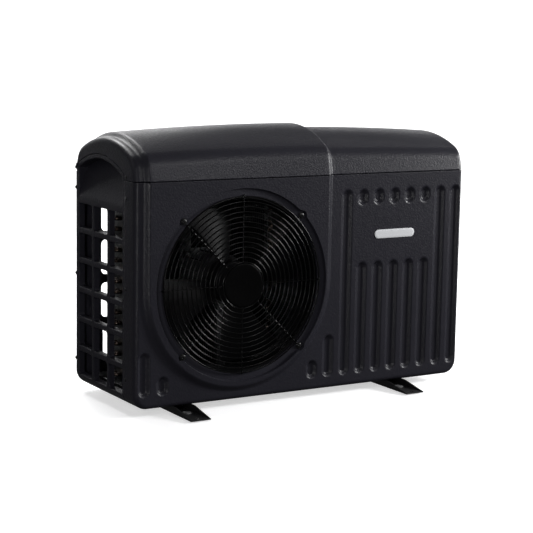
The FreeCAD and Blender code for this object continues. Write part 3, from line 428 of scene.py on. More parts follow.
def scaled(colour, factor):
    """Lighter or darker colour."""
    return tuple(min(1.0, c * factor) for c in colour)


def moulded_plastic(name, colour, roughness, grain=900.0, bump=0.12, mottle=0.08, specular=0.5):
    """Fine spark-eroded grain, faint cloudy variation from the moulding."""
    material, tree, shader = start_material(name, colour, roughness, specular=specular)
    cloud = noise(tree, 9.0, 4.0)
    tone = two_tones(tree, cloud, scaled(colour, 1 - mottle), scaled(colour, 1 + mottle))
    tree.links.new(tone, shader.inputs["Base Color"])
    fine = noise(tree, grain, 2.0)
    tree.links.new(spread(tree, fine, roughness - 0.05, roughness + 0.07), shader.inputs["Roughness"])
    rough_skin(tree, shader, fine, bump, 0.0004)
    return material


def coated_steel(name, colour, roughness, coat=0.0, specular=0.5):
    """Stoved or powder coating with a slight orange peel."""
    material, tree, shader = start_material(name, colour, roughness, specular=specular)
    shader.inputs["Coat Weight"].default_value = coat
    shader.inputs["Coat Roughness"].default_value = 0.12
    peel = noise(tree, 260.0, 2.0)
    tree.links.new(spread(tree, peel, roughness - 0.04, roughness + 0.06), shader.inputs["Roughness"])
    rough_skin(tree, shader, peel, 0.08, 0.0003)
    tone = two_tones(tree, noise(tree, 14.0), scaled(colour, 0.9), scaled(colour, 1.12))
    tree.links.new(tone, shader.inputs["Base Color"])
    return material


def bare_metal(name, colour, roughness, stretch=(1.0, 1.0, 1.0), grain=420.0):
    """Drawn, rolled or machined metal with its grain along one axis."""
    material, tree, shader = start_material(name, colour, roughness, metallic=1.0)
    lines = noise(tree, grain, 3.0, stretch)
    tree.links.new(spread(tree, lines, roughness - 0.08, roughness + 0.1), shader.inputs["Roughness"])
    tone = two_tones(tree, noise(tree, 22.0, 4.0), scaled(colour, 0.82), scaled(colour, 1.1))
    tree.links.new(tone, shader.inputs["Base Color"])
    rough_skin(tree, shader, lines, 0.05, 0.0002)
    return material


def spangled_zinc(name):
    """Galvanised sheet with its flat crystals."""
    material, tree, shader = start_material(name, (0.2, 0.204, 0.21), 0.45, metallic=1.0)
    where = node(tree, "ShaderNodeTexCoord")
    crystals = node(tree, "ShaderNodeTexVoronoi", Scale=90.0)
    tree.links.new(where.outputs["Object"], crystals.inputs["Vector"])
    split = node(tree, "ShaderNodeSeparateColor")
    tree.links.new(crystals.outputs["Color"], split.inputs["Color"])
    shade = two_tones(tree, split.outputs["Red"], (0.15, 0.154, 0.16), (0.26, 0.265, 0.27))
    tree.links.new(shade, shader.inputs["Base Color"])
    tree.links.new(spread(tree, split.outputs["Green"], 0.3, 0.5, 0.0, 1.0), shader.inputs["Roughness"])
    return material


def case_plastic(colour):
    """Satin charcoal with a leather grain about 4 mm across and finer ones inside it."""
    material, tree, shader = start_material("Charcoal ABS", colour, 0.36, specular=0.18)
    cloud = noise(tree, 9.0, 4.0)
    tone = two_tones(tree, cloud, scaled(colour, 0.92), scaled(colour, 1.08))
    tree.links.new(tone, shader.inputs["Base Color"])
    coarse = noise(tree, 240.0, 4.0)
    tree.links.new(spread(tree, coarse, 0.30, 0.44), shader.inputs["Roughness"])
    rough_skin(tree, shader, coarse, 0.7, 0.0010)
    return material


FINISHES = {
    "abs_charcoal": lambda: case_plastic(tuple(bpy.context.scene.heat_pump_case.colour)),
    "pan_steel": lambda: spangled_zinc("Galvanised sheet"),
    "rail_black": lambda: coated_steel("Rail powder coat", (0.006, 0.006, 0.0065), 0.5),
    "rubber": lambda: moulded_plastic("Grey rubber", (0.09, 0.09, 0.092), 0.72, 500.0, 0.2),
    "zinc_steel": lambda: bare_metal("Zinc plate", (0.6, 0.6, 0.58), 0.35),
    "screw_black": lambda: coated_steel("Black oxide screws", (0.006, 0.006, 0.0065), 0.3, 0.0, 0.3),
    "guard_black": lambda: coated_steel("Guard coating", (0.002, 0.002, 0.0022), 0.2, 0.0, 0.16),
    "fan_plastic": lambda: moulded_plastic("Fan plastic", (0.004, 0.004, 0.0045), 0.38, 700.0, 0.1, specular=0.1),
    "motor_paint": lambda: coated_steel("Motor paint", (0.014, 0.014, 0.015), 0.42, 0.2),
    "motor_iron": lambda: bare_metal("Machined iron", (0.3, 0.3, 0.31), 0.5),
    # Fin colour: near black, far darker than bare aluminium, as painted shade of the dark inside of the case.
    "fin_aluminium": lambda: bare_metal("Coated fins", (0.05, 0.052, 0.055), 0.5, (1.0, 1.0, 0.05), 300.0),
    # Copper colour: tarnished brown, darkened further as painted shade of the coil deep inside the case.
    "copper": lambda: bare_metal("Darkened copper tube", (0.085, 0.065, 0.055), 0.3, (0.08, 1.0, 1.0)),
    "valve_brass": lambda: bare_metal("Brass", (0.7, 0.52, 0.24), 0.32),
    "vessel_plastic": lambda: moulded_plastic("Fitting plastic", (0.03, 0.03, 0.033), 0.36, 650.0, 0.08),
    "titanium": lambda: bare_metal("Titanium tube", (0.5, 0.48, 0.45), 0.34),
    "board_green": lambda: moulded_plastic("Circuit board", (0.02, 0.16, 0.06), 0.4, 300.0, 0.3, 0.3),
    "terminal_cream": lambda: moulded_plastic("Terminal moulding", (0.66, 0.63, 0.54), 0.45, 500.0, 0.08),
    "gland_grey": lambda: moulded_plastic("Nylon", (0.05, 0.05, 0.053), 0.45, 500.0, 0.1),
    "badge_light": lambda: moulded_plastic("Badge plate", (0.62, 0.63, 0.65), 0.28, 400.0, 0.04, 0.03),
}
MADE = {}


def finish_for(slot):
    """The material of a slot, made once."""
    if slot not in MADE:
        MADE[slot] = FINISHES[slot]()
    return MADE[slot]


# ---- shape of the case ----------------------------------------------------------------
def belt_share(x, z):
    """1 on the raised belt, 0 beside it, with a soft step between."""
    below = np.hypot(x - BELT_X, z - FAN_Z)
    d = np.where(z < FAN_Z, below, np.abs(x - BELT_X))
    return ease((BELT_OUT - d) / (BELT_OUT - BELT_IN))


def groove_list():
    """Centre, lower end and upper end of every groove in the front."""
    xs = [GROOVE_LAST_X - GROOVE_PITCH * i for i in range(9, -1, -1)]
    tops = [SHORT_TOP, MEDIUM_TOP, GROOVE_TOP] + [LOWER_TOP] * 5 + [GROOVE_TOP] * 2
    grooves = [(x, GROOVE_BOTTOM, top) for x, top in zip(xs, tops)]
    grooves += [(x, OVAL_BOTTOM, GROOVE_TOP) for x in xs[3:8]]
    grooves += [(-441.0, GROOVE_BOTTOM, MEDIUM_TOP), (-392.5, GROOVE_BOTTOM, SHORT_TOP)]
    return grooves


def groove_depth(x, z):
    """Depth of the upright grooves, round at their ends and soft at their edges."""
    case = bpy.context.scene.heat_pump_case
    depth = np.zeros_like(x)
    r = GROOVE_W / 2
    for cx, low, high in groove_list():
        d = np.hypot(x - cx, z - np.clip(z, low + r, high - r)) - r
        depth = np.maximum(depth, ease(-d / case.groove_wall) * case.groove_depth)
    return depth


class FanLedge:
    """Distance from the recessed ledge with its four screw ears, negative inside it."""

    centre = (FAN_X, FAN_Z)

    def __call__(self, x, z):
        d = np.hypot(x - FAN_X, z - FAN_Z) - LEDGE_R
        for ear_x, ear_z in GUARD_SCREWS:
            ear = np.hypot(x - ear_x, z - ear_z) - EAR_R
            mix = np.clip(0.5 + 0.5 * (ear - d) / EAR_BLEND, 0, 1)
            d = ear + (d - ear) * mix - EAR_BLEND * mix * (1 - mix)
        return d


def front_depth(x, z):
    """How far the front lies behind its flat plane, negative where it stands proud."""
    skin = groove_depth(x, z) - BELT_RISE * belt_share(x, z)
    on_ledge = 1.0 - ease(FanLedge()(x, z) / LEDGE_WALL)
    return skin + (LEDGE_Y - FRONT_Y - skin) * on_ledge


def rear_depth(x, z):
    """How far the rear lies behind its flat plane: only the belt stands proud."""
    return -BELT_RISE * belt_share(x, z)


def round_corners(u, v):
    """Bends the grid's two lower corners on to their arcs."""
    r = BOTTOM_R - CORNER_R
    half = HALF_LENGTH - BOTTOM_R
    low = BOTTOM_Z + BOTTOM_R
    a = np.clip((np.abs(u) - half) / r, 0, 1)
    b = np.clip((low - v) / r, 0, 1)
    inside = (a > 0) & (b > 0)
    u2 = np.where(inside, np.sign(u) * (half + r * a * np.sqrt(1 - b * b / 2)), u)
    v2 = np.where(inside, low - r * b * np.sqrt(1 - a * a / 2), v)
    return u2, v2


def tray_rim(sheet, u, v, side, plane_y, return_y, relief):
    """Rounds the face's left, lower and right edges over into the returns, and softens every rim."""
    corner_turns = 9
    left = [(u[i, 0], v[i, 0]) for i in range(len(u) - 1, -1, -1)]
    bottom = [(u[0, j], v[0, j]) for j in range(1, u.shape[1])]
    right = [(u[i, -1], v[i, -1]) for i in range(1, len(u))]
    edge = np.array(left + bottom + right)
    nx = np.sign(edge[:, 0]) * np.maximum(np.abs(edge[:, 0]) - (HALF_LENGTH - BOTTOM_R), 0)
    nz = -np.maximum(BOTTOM_Z + BOTTOM_R - edge[:, 1], 0)
    size = np.hypot(nx, nz)
    nx = nx / size
    nz = nz / size
    rows = []
    normals = []
    for i in range(corner_turns):
        a = math.pi / 2 * i / (corner_turns - 1)
        x = edge[:, 0] + nx * CORNER_R * math.sin(a)
        z = edge[:, 1] + nz * CORNER_R * math.sin(a)
        back = CORNER_R * (1 - math.cos(a))
        normal = np.stack([nx * math.sin(a), 0 * nx + side * math.cos(a), nz * math.sin(a)], axis=-1)
        rows.append(np.stack([x, 0 * x + plane_y - side * back, z], axis=-1) - normal * relief(x, z)[:, None])
        normals.append(normal)
    flat = np.stack([nx, 0 * nx, nz], axis=-1)
    start_y = plane_y - side * CORNER_R
    for share in (0.2, 0.4, 0.6, 0.8, 1.0):
        row = rows[corner_turns - 1].copy()
        row[:, 1] = start_y + (return_y + side * EDGE_R - start_y) * share
        rows.append(row)
        normals.append(flat)
    last = rows[-1]
    for a in QUARTER[1:]:
        rows.append(last - flat * EDGE_R * (1 - math.cos(a)) + np.array([0, -side * EDGE_R * math.sin(a), 0]))
        normals.append(flat)
    rows = np.array(rows)
    normals = np.array(normals)
    sheet.grid(rows)
    across_u = u[-1, 1:-1]
    across_v = v[-1, 1:-1]
    across = np.stack([across_u, plane_y - side * relief(across_u, across_v), across_v], axis=-1)
    outward = np.tile(np.array([0.0, side, 0.0]), (len(across), 1))
    top = np.concatenate([rows[::-1, 0], across, rows[:, -1]])
    top_normal = np.concatenate([normals[::-1, 0], outward, normals[:, -1]])
    lips = []
    for a in QUARTER:
        lips.append(top + np.array([0, 0, EDGE_R * math.sin(a)]) - top_normal * EDGE_R * (1 - math.cos(a)))
    sheet.grid(np.array(lips))


def front_shell():
    """Front with its grooves, belt, screw ledge and fan opening."""
    sheet = Sheet()
    inner = HALF_LENGTH - CORNER_R
    split = 100.0                      # end of the fan's cell, and of the coarser mesh
    lip = 1.5
    fine = bpy.context.scene.heat_pump_case.mesh_step
    corner_x = HALF_LENGTH - BOTTOM_R
    corner_z = BOTTOM_Z + BOTTOM_R
    us = np.concatenate([spaced([-inner, -corner_x, split], fine)[:-1], spaced([split, corner_x, inner], fine * 0.7)])
    vs = spaced([BOTTOM_Z + CORNER_R, corner_z, PANEL_TOP - EDGE_R], fine)
    levels = [(OPENING_R - LEDGE_R, 4.0)]
    levels += [(OPENING_R - LEDGE_R + lip * (1 - math.cos(a)), lip * (1 - math.sin(a))) for a in QUARTER]
    levels += [(d, 0.0) for d in (-14, -11, -8, -5, -3, -1.5, -0.5)]
    levels += [(d, 0.0) for d in np.linspace(0, LEDGE_WALL, 9)]
    levels += [(d, 0.0) for d in (2.6, 3.6, 5, 7, 9, 12)]
    cell = (-inner, split, vs[0], vs[-1], FanLedge(), levels, 70)

    def put(x, z, depth):
        return np.stack([x, FRONT_Y + front_depth(x, z) + depth, z], axis=-1)

    u, v = pierced_face(sheet, us, vs, [cell], put, round_corners)
    tray_rim(sheet, u, v, -1.0, FRONT_Y, RETURN_FRONT_Y, front_depth)
    return sheet.mesh("front_shell", (0, -1, 0))


def rear_shell():
    """Rear with its grille, two water ports and cable gland hole."""
    sheet = Sheet()
    inner = HALF_LENGTH - CORNER_R
    corner_x = HALF_LENGTH - BOTTOM_R
    corner_z = BOTTOM_Z + BOTTOM_R
    half_w = (REAR_COLUMNS[1] - REAR_COLUMNS[0]) / 2
    half_h = (REAR_ROWS[1] - REAR_ROWS[0]) / 2
    stops_x = [-inner, -corner_x] + [x - half_w for x in REAR_COLUMNS] + [REAR_COLUMNS[-1] + half_w]
    stops_x += [GLAND[0] - GLAND_CELL, GLAND[0] + GLAND_CELL, PORT_X - PORT_CELL, PORT_X + PORT_CELL, corner_x, inner]
    stops_z = [BOTTOM_Z + CORNER_R, corner_z, GLAND[1] - GLAND_CELL, GLAND[1] + GLAND_CELL, PANEL_TOP - EDGE_R]
    stops_z += [z + reach for z in PORT_ZS for reach in (-PORT_CELL, PORT_CELL)]
    stops_z += [z - half_h for z in REAR_ROWS] + [REAR_ROWS[-1] + half_h]
    us = spaced(sorted(stops_x), 4.0)
    vs = spaced(sorted(set(stops_z)), 4.0)
    rim = rim_levels(1.5, 8.0)
    cells = []

    def pierce(x, z, reach_x, reach_z, hole, levels, steps):
        cells.append((x - reach_x, x + reach_x, z - reach_z, z + reach_z, hole, levels, steps))

    for x in REAR_COLUMNS:
        for z in REAR_ROWS:
            pierce(x, z, half_w, half_h, Hole(x, z, REAR_OPEN_W / 2, REAR_OPEN_H / 2, 12.0), rim, 3)
    for z in PORT_ZS:
        pierce(PORT_X, z, PORT_CELL, PORT_CELL, round_hole(PORT_X, z, PORT_HOLE_R), rim, 4)
    pierce(*GLAND, GLAND_CELL, GLAND_CELL, round_hole(*GLAND, GLAND_HOLE_R), rim_levels(0.6, 3.0, 0.1), 5)

    def put(x, z, depth):
        return np.stack([x, REAR_Y - rear_depth(x, z) - depth, z], axis=-1)

    u, v = pierced_face(sheet, us, vs, cells, put, round_corners)
    tray_rim(sheet, u, v, 1.0, REAR_Y, RETURN_REAR_Y, rear_depth)
    return sheet.mesh("rear_shell", (0, 1, 0))


# ---- side panels ----------------------------------------------------------------------
def side_place(side):
    """Surface of a side: v runs up the wall, and below the corner round under the case."""
    def put(u, v, depth):
        turn = np.clip((BOTTOM_Z + BOTTOM_R - v) / BOTTOM_R, 0, math.pi / 2)
        x = HALF_LENGTH - BOTTOM_R + (BOTTOM_R - depth) * np.cos(turn)
        z = np.where(v < BOTTOM_Z + BOTTOM_R, BOTTOM_Z + BOTTOM_R - (BOTTOM_R - depth) * np.sin(turn), v)
        return np.stack([side * x, u, z], axis=-1)
    return put


def side_arch(u, grow):
    """Height of the side panel's arched outline at that depth, grown by that much."""
    half = (SIDE_Y1 - SIDE_Y0) / 2 + grow
    spring = SIDE_SPRING_Z + 0.6 * grow
    rise = SIDE_PEAK_Z + grow - spring
    radius = (half * half + rise * rise) / (2 * rise)
    return spring + rise - radius + np.sqrt(radius * radius - (u - SIDE_YC) ** 2)


def pocket_floor(v):
    """Depth of the hand scoop: it deepens upwards and turns back under its roof."""
    slope = POCKET_DEPTH / (POCKET_DEEP_Z - POCKET_Z0)
    ramp = np.maximum(v - POCKET_Z0, 0) * slope
    foot = 6.0
    soft = np.where(ramp < foot * slope, ramp * ramp / (2 * foot * slope), ramp - foot * slope / 2)
    return np.minimum(soft, POCKET_DEPTH)


def side_shell(side, with_grille):
    """Side panel with its hand scoop, turned under the case at its foot."""
    sheet = Sheet()
    lip_r = 1.5
    put = side_place(side)
    y0 = SIDE_Y0 + EDGE_R
    y1 = SIDE_Y1 - EDGE_R
    bottom = BOTTOM_Z + BOTTOM_R - BOTTOM_R * math.pi / 2
    border = np.array([0, 0.04, 0.1, 0.18, 0.28, 0.4, 0.55, 0.75, 1.0])
    cell_y = [(a + b) / 2 for a, b in zip(GRILLE_Y, GRILLE_Y[1:])]
    cell_z = [(a + b) / 2 for a, b in zip(GRILLE_Z, GRILLE_Z[1:])]
    cell_z = [GRILLE_Z[0] - GRILLE_MARGIN] + cell_z + [GRILLE_Z[-1] + GRILLE_MARGIN]
    middle = spaced([POCKET_Y0] + cell_y + [POCKET_Y1], 3.0)
    low_margin = POCKET_Y0 + (y0 - POCKET_Y0) * border[:0:-1]
    high_margin = POCKET_Y1 + (y1 - POCKET_Y1) * border[1:]
    us = np.concatenate([low_margin, middle, high_margin])
    vs = spaced([bottom] + cell_z + [POCKET_Z0], 3.0)
    cells = []
    if with_grille:
        edges = [y0] + cell_y + [y1]
        for i, y in enumerate(GRILLE_Y):
            for k, z in enumerate(GRILLE_Z):
                hole = Hole(y, z, GRILLE_W / 2, GRILLE_H / 2, 7.0)
                cells.append((edges[i], edges[i + 1], cell_z[k], cell_z[k + 1], hole, rim_levels(2.0, 15.0, 0.8), 3))
    u, v = pierced_face(sheet, us, vs, cells, put)

    def roof(values):
        return side_arch(values, -10.0)

    steps = np.linspace(0, 1, 34)
    low_u, grid_t = np.meshgrid(middle, steps)
    grid_v = POCKET_Z0 + grid_t * (roof(low_u) - POCKET_Z0)
    sheet.grid(put(low_u, grid_v, pocket_floor(grid_v)))

    def path(left, right, top):
        """Up one side, over the arch and down the other, with the same number of points."""
        rise_l = POCKET_Z0 + steps * (top(np.array(left)) - POCKET_Z0)
        rise_r = POCKET_Z0 + steps * (top(np.array(right)) - POCKET_Z0)
        span = left + (right - left) * (middle - POCKET_Y0) / (POCKET_Y1 - POCKET_Y0)
        pu = np.concatenate([0 * steps + left, span[1:-1], 0 * steps + right])
        pv = np.concatenate([rise_l, top(span[1:-1]), rise_r[::-1]])
        return pu, pv

    inner_u, inner_v = path(POCKET_Y0, POCKET_Y1, roof)
    outer_u, outer_v = path(y0, y1, lambda values: side_arch(values, -EDGE_R))
    floor = pocket_floor(inner_v)
    lip = np.minimum(floor, lip_r)
    walls = [put(inner_u, inner_v, np.maximum(floor * share, lip)) for share in (1, 0.75, 0.5, 0.25)]
    width = np.hypot(outer_u - inner_u, outer_v - inner_v)
    for share in border:
        d = share * width
        turn = np.sqrt(np.maximum(lip_r ** 2 - (lip_r - np.minimum(d, lip_r)) ** 2, 0))
        sunk = np.where(d < lip_r, lip_r - turn, 0) / lip_r * lip
        walls.append(put(inner_u + (outer_u - inner_u) * share, inner_v + (outer_v - inner_v) * share, sunk))
    sheet.grid(np.array(walls))

    low = [(us[0], value) for value in vs]
    high = [(us[-1], value) for value in vs[::-1]]
    edge = np.array(low + list(zip(outer_u[1:], outer_v[1:])) + high[1:])
    ahead = np.gradient(edge, axis=0)
    normal = np.stack([-ahead[:, 1], ahead[:, 0]], axis=-1)
    normal /= np.linalg.norm(normal, axis=1)[:, None]
    rows = []
    for a in QUARTER:
        p = edge + normal * EDGE_R * math.sin(a)
        rows.append(put(p[:, 0], p[:, 1], EDGE_R * (1 - math.cos(a)) + 0 * p[:, 0]))
    sheet.grid(np.array(rows))
    return sheet.mesh("side_shell", (side, 0, 0))


# ---- top cover ------------------------------------------------------------------------
def cover_section(x, grow):
    """Half outline of the cover from its front rim to the crest, as depth and height."""
    t = (x / HALF_LENGTH) ** 2
    crest = CROWN_Z - CROWN_DROP * t + grow
    base = -FRONT_Y + grow
    half = SHOULDER_HALF + grow
    shoulder = SHOULDER_Z - SHOULDER_DROP * t + 0.6 * grow
    round_r = bpy.context.scene.heat_pump_case.shoulder_radius
    side = half - 8.0
    rise = crest - (shoulder + 10.0)
    radius = (side * side + rise * rise) / (2 * rise)
    middle = np.array([0.0, crest - radius])
    foot = np.array([base, COVER_Z])
    head = np.array([half, shoulder])
    up = (head - foot) / np.linalg.norm(head - foot)
    inward = np.array([-up[1], up[0]])
    start = foot + inward * round_r - middle
    b = start @ up
    c = start @ start - (radius - round_r) ** 2
    centre = middle + start + up * (-b + math.sqrt(b * b - c))
    leave = centre - inward * round_r
    out = (centre - middle) / np.linalg.norm(centre - middle)
    a0 = math.atan2(-inward[1], -inward[0])
    a1 = math.atan2(out[1], out[0])
    wall_z = [COVER_Z + EDGE_R] + list(np.linspace(COVER_Z + 3.0, leave[1], 16))
    points = [foot + up * (z - COVER_Z) / up[1] for z in wall_z]
    for a in np.linspace(a0, a1, 16)[1:]:
        points.append(centre + round_r * np.array([math.cos(a), math.sin(a)]))
    for a in np.linspace(a1, math.pi / 2, 70)[1:]:
        points.append(middle + radius * np.array([math.cos(a), math.sin(a)]))
    return np.array(points)


def cover_row(x, grow):
    """Whole outline of the cover at that length, from the front rim over the crest to the rear rim."""
    half = cover_section(x, grow)
    rim = []
    for a in QUARTER[:0:-1]:
        rim.append((half[0, 0] - EDGE_R * (1 - math.cos(a)), half[0, 1] - EDGE_R * math.sin(a)))
    half = np.concatenate([np.array(rim), half])
    front = np.stack([-half[:, 0], half[:, 1]], axis=-1)
    rear = half[-2::-1]
    outline = np.concatenate([front, rear])
    return np.stack([0 * outline[:, 0] + x, outline[:, 0], outline[:, 1]], axis=-1)


def end_hole(outer):
    """Outline of the cover's open end, with one point for each point of the outer outline."""
    grow = 1.5
    y0 = SIDE_Y0 - grow
    y1 = SIDE_Y1 + grow
    us = np.linspace(y0, y1, 120)
    arch = np.stack([us, side_arch(us, grow)], axis=-1)
    path = np.concatenate([[[y0, COVER_Z]], arch, [[y1, COVER_Z]]])
    length = np.concatenate([[0], np.cumsum(np.linalg.norm(np.diff(path, axis=0), axis=1))])
    run = np.concatenate([[0], np.cumsum(np.linalg.norm(np.diff(outer, axis=0), axis=1))])
    where = run / run[-1] * length[-1]
    return np.stack([np.interp(where, length, path[:, 0]), np.interp(where, length, path[:, 1])], axis=-1)


def cover_shell():
    """Cover with the belt over it and an arched opening in each end."""
    sheet = Sheet()
    inner = HALF_LENGTH - CORNER_R
    steps_x = sorted([BELT_X - BELT_OUT, BELT_X - BELT_IN, BELT_X + BELT_IN, BELT_X + BELT_OUT])
    xs = np.concatenate([
        spaced([-inner, steps_x[0]], 2.0)[:-1],
        spaced([steps_x[0], steps_x[1]], 1.0)[:-1],
        spaced([steps_x[1], steps_x[2]], 9.0)[:-1],
        spaced([steps_x[2], steps_x[3]], 1.0)[:-1],
        spaced([steps_x[3], inner], 9.0),
    ])
    rows = []
    for x in xs:
        share = float(ease((BELT_OUT - abs(x - BELT_X)) / (BELT_OUT - BELT_IN)))
        rows.append(cover_row(x, BELT_RISE * share))
    sheet.grid(np.array(rows))
    for side in (-1, 1):
        rows = []
        for i in range(9):
            a = math.pi / 2 * i / 8
            rows.append(cover_row(side * (inner + CORNER_R * math.sin(a)), -CORNER_R * (1 - math.cos(a))))
        outer = rows[-1][:, 1:]
        hole = end_hole(outer)
        for share in (0.25, 0.5, 0.75, 1.0):
            p = outer + (hole - outer) * share
            rows.append(np.stack([0 * p[:, 0] + side * HALF_LENGTH, p[:, 0], p[:, 1]], axis=-1))
        for depth in (0.2, 0.8, 2.0, 6.0):
            rows.append(np.stack([0 * hole[:, 0] + side * (HALF_LENGTH - depth), hole[:, 0], hole[:, 1]], axis=-1))
        sheet.grid(np.array(rows))
    return sheet.mesh("cover_shell", (0, 0, 1))


# ---- guard, fan and badge -------------------------------------------------------------
def fan_blade(sheet, middle, fan):
    """One swept blade: an aerofoil with round edges, lofted from the hub to the tip."""
    around = full_turn(56)
    chord = 0.5 - 0.5 * np.cos(around)
    half_thick = fan.blade_thickness / MM / 2 * np.sign(np.sin(around)) * np.abs(np.sin(around)) ** 0.5
    hub_r = HUB_R - 3.0
    rows = []
    for s in np.concatenate([np.linspace(0, 1, 30), [1.0, 1.0]]):
        r = hub_r + (TIP_R - hub_r) * s
        lead = fan.lead + fan.sweep * s * s
        angle = middle + lead - (fan.span + math.radians(3.0) * s) * chord
        depth = HUB_FRONT + 8.0 + (30.0 + 8.0 * s) * chord - 3.5 * np.sin(math.pi * chord)
        rows.append(np.stack([FAN_X + r * np.cos(angle), depth + half_thick, FAN_Z + r * np.sin(angle)], axis=-1))
    tip = rows[-1]
    spine = np.stack([tip[:, 0], tip[:, 1] - half_thick, tip[:, 2]], axis=-1)
    rows[-2] = spine + (tip - spine) * 0.7 + (tip - np.array([FAN_X, 0, FAN_Z])) * np.array([0.003, 0, 0.003])
    rows[-1] = spine + (tip - spine) * 0.05 + (tip - np.array([FAN_X, 0, FAN_Z])) * np.array([0.004, 0, 0.004])
    sheet.grid(np.array(rows), closed=True)


def fan_rotor():
    """Moulded hub with a rounded front, inner ribs and its blades."""
    fan = bpy.context.scene.heat_pump_fan
    sheet = Sheet()
    back = HUB_BACK - HUB_FRONT
    edge = 6.0
    profile = [(6.3, back - 6), (6.3, 0.6), (7.0, 0), (14.0, 0), (16.0, 1.5), (26.0, 2.2), (HUB_R - edge - 3, 0.4)]
    for i in range(8):
        a = math.radians(90 * i / 7)
        profile.append((HUB_R - edge + edge * math.sin(a), edge * (1 - math.cos(a))))
    profile += [(HUB_R, 0.5 * back), (HUB_R, back - 0.6), (HUB_R - 0.6, back), (HUB_R - 3.4, back)]
    profile += [(HUB_R - 4, back - 0.6), (HUB_R - 4, 8.0), (HUB_R - 8, 4.4), (18.0, 5.2), (13.0, 8.0)]
    profile += [(13.0, back - 6.6), (12.4, back - 6), (6.3, back - 6)]
    sheet.grid(revolve(profile, (FAN_X, HUB_FRONT, FAN_Z), "y", 120), closed=True)
    for i in range(6):
        a = math.radians(60 * i)
        out = np.array([math.cos(a), 0, math.sin(a)])
        across = np.array([-math.sin(a), 0, math.cos(a)])
        outline = [(-1.2, 3.0), (-1.2, 33.4), (-0.6, 34.0), (0.6, 34.0), (1.2, 33.4), (1.2, 3.0)]
        rib = [[np.array([FAN_X, HUB_FRONT + h, FAN_Z]) + out * r + across * w for w, h in outline]
               for r in (12.0, 22.0, 34.0, HUB_R - 3.0)]
        sheet.grid(np.array(rib), closed=True)
    for i in range(fan.blades):
        fan_blade(sheet, 2 * math.pi * i / fan.blades, fan)
    return sheet.mesh("fan_rotor_mesh", (0, -1, 0), weld=0.005)


def pan_screws(places, top, foot, radius, shank):
    """Washered pan heads with a cross recess, facing the front."""
    sheet = Sheet()
    turn = full_turn(96)
    radii = np.concatenate([np.linspace(0.02, radius * 0.8, 26), radius * np.array([0.88, 0.94, 0.98, 1.0, 1.0])])
    lifts = np.concatenate([0.9 * (np.linspace(0, 1, 26)) ** 2.2, [1.15, 1.45, 1.9, 2.5, 3.0]])
    for x, z in places:
        rows = []
        for r, lift in zip(radii, lifts):
            a = r * np.cos(turn)
            b = r * np.sin(turn)
            arm = np.minimum(np.abs(a), np.abs(b)) - 0.65
            reach = np.maximum(np.abs(a), np.abs(b)) - radius * 0.55
            recess = 1.3 * ease(-np.maximum(arm, reach) / 0.5)
            rows.append(np.stack([x + a, top + np.maximum(lift, recess), z + b], axis=-1))
        washer = [(radius + 1.2, 3.0), (radius + 1.5, 3.3), (radius + 1.5, 3.9), (radius + 1.2, 4.1)]
        rows += [circle(x, top + lift, z, r, turn) for r, lift in washer + [(shank, 4.1)]]
        rows += [circle(x, foot, z, r, turn) for r in (shank, 0.02)]
        sheet.grid(np.array(rows), closed=True)
    return sheet.mesh("pan_screws", (0, -1, 0), weld=0.005)


def guard_wires():
    """The guard's rings, one pitch apart from the outermost inwards."""
    guard = bpy.context.scene.heat_pump_guard
    sheet = Sheet()
    ring_y = (RINGS_LOW[1] + RINGS_HIGH[1]) / 2
    wire = guard.ring_wire / MM / 2
    last = (RINGS_HIGH[0] - RINGS_LOW[0]) / 2 - wire
    turn = full_turn(220)
    for i in range(guard.rings):
        r = last - guard.ring_pitch / MM * (guard.rings - 1 - i)
        sheet.grid(tube(circle(FAN_X, ring_y, FAN_Z, r, turn), wire, 12, closed=True), closed=True)
    return sheet.mesh("guard_wires", (0, -1, 0))


def guard_spokes():
    """Eight spokes behind the rings; the diagonal ones end in eyes round the screws."""
    sheet = Sheet()
    low, high = frame_box("guard_spokes")
    spoke_y = (low[1] + high[1]) / 2
    wire = (high[1] - low[1]) / 2
    for i in range(8):
        a = math.radians(45 * i)
        out = np.array([math.cos(a), 0, math.sin(a)])
        end = GUARD_SCREW_R - 5.0 if i % 2 else 216.0
        centre = np.array([FAN_X, spoke_y, FAN_Z])
        radii = np.array([46, 80, 120, 160, 200, end - 1.2, end - 0.5, end - 0.1, end])
        path = centre + out[None] * radii[:, None]
        thick = np.array([wire] * 6 + [wire * 0.8, wire * 0.4, wire * 0.02])
        sheet.grid(tube(path, thick, 14), closed=True)
        if i % 2:
            eye = circle(*(centre + out * GUARD_SCREW_R), 5.0, full_turn(40))
            sheet.grid(tube(eye, wire, 12, closed=True), closed=True)
    return sheet.mesh("guard_spokes_mesh", (0, -1, 0))


def guard_disc():
    """Pressed cap with a rolled rim and a slight dish."""
    r = (CAP_HIGH[0] - CAP_LOW[0]) / 2
    y = CAP_LOW[1]
    profile = [(0.01, 1.5), (r * 0.3, 1.35), (r * 0.55, 1.0), (r * 0.75, 0.45), (r * 0.88, 0.1)]
    for i in range(7):
        a = math.radians(15 * i)
        profile.append((r - 2.5 + 2.5 * math.sin(a), 2.5 * (1 - math.cos(a))))
    profile += [(r, 5.0), (r - 0.3, 5.4), (r - 0.8, 5.5), (r - 1.2, 5.2), (r - 1.3, 3.0), (r - 3.0, 1.9), (0.01, 3.2)]
    sheet = Sheet()
    sheet.grid(revolve(profile, (FAN_X, y, FAN_Z), "y", 128), closed=True)
    return sheet.mesh("guard_disc", (0, -1, 0))


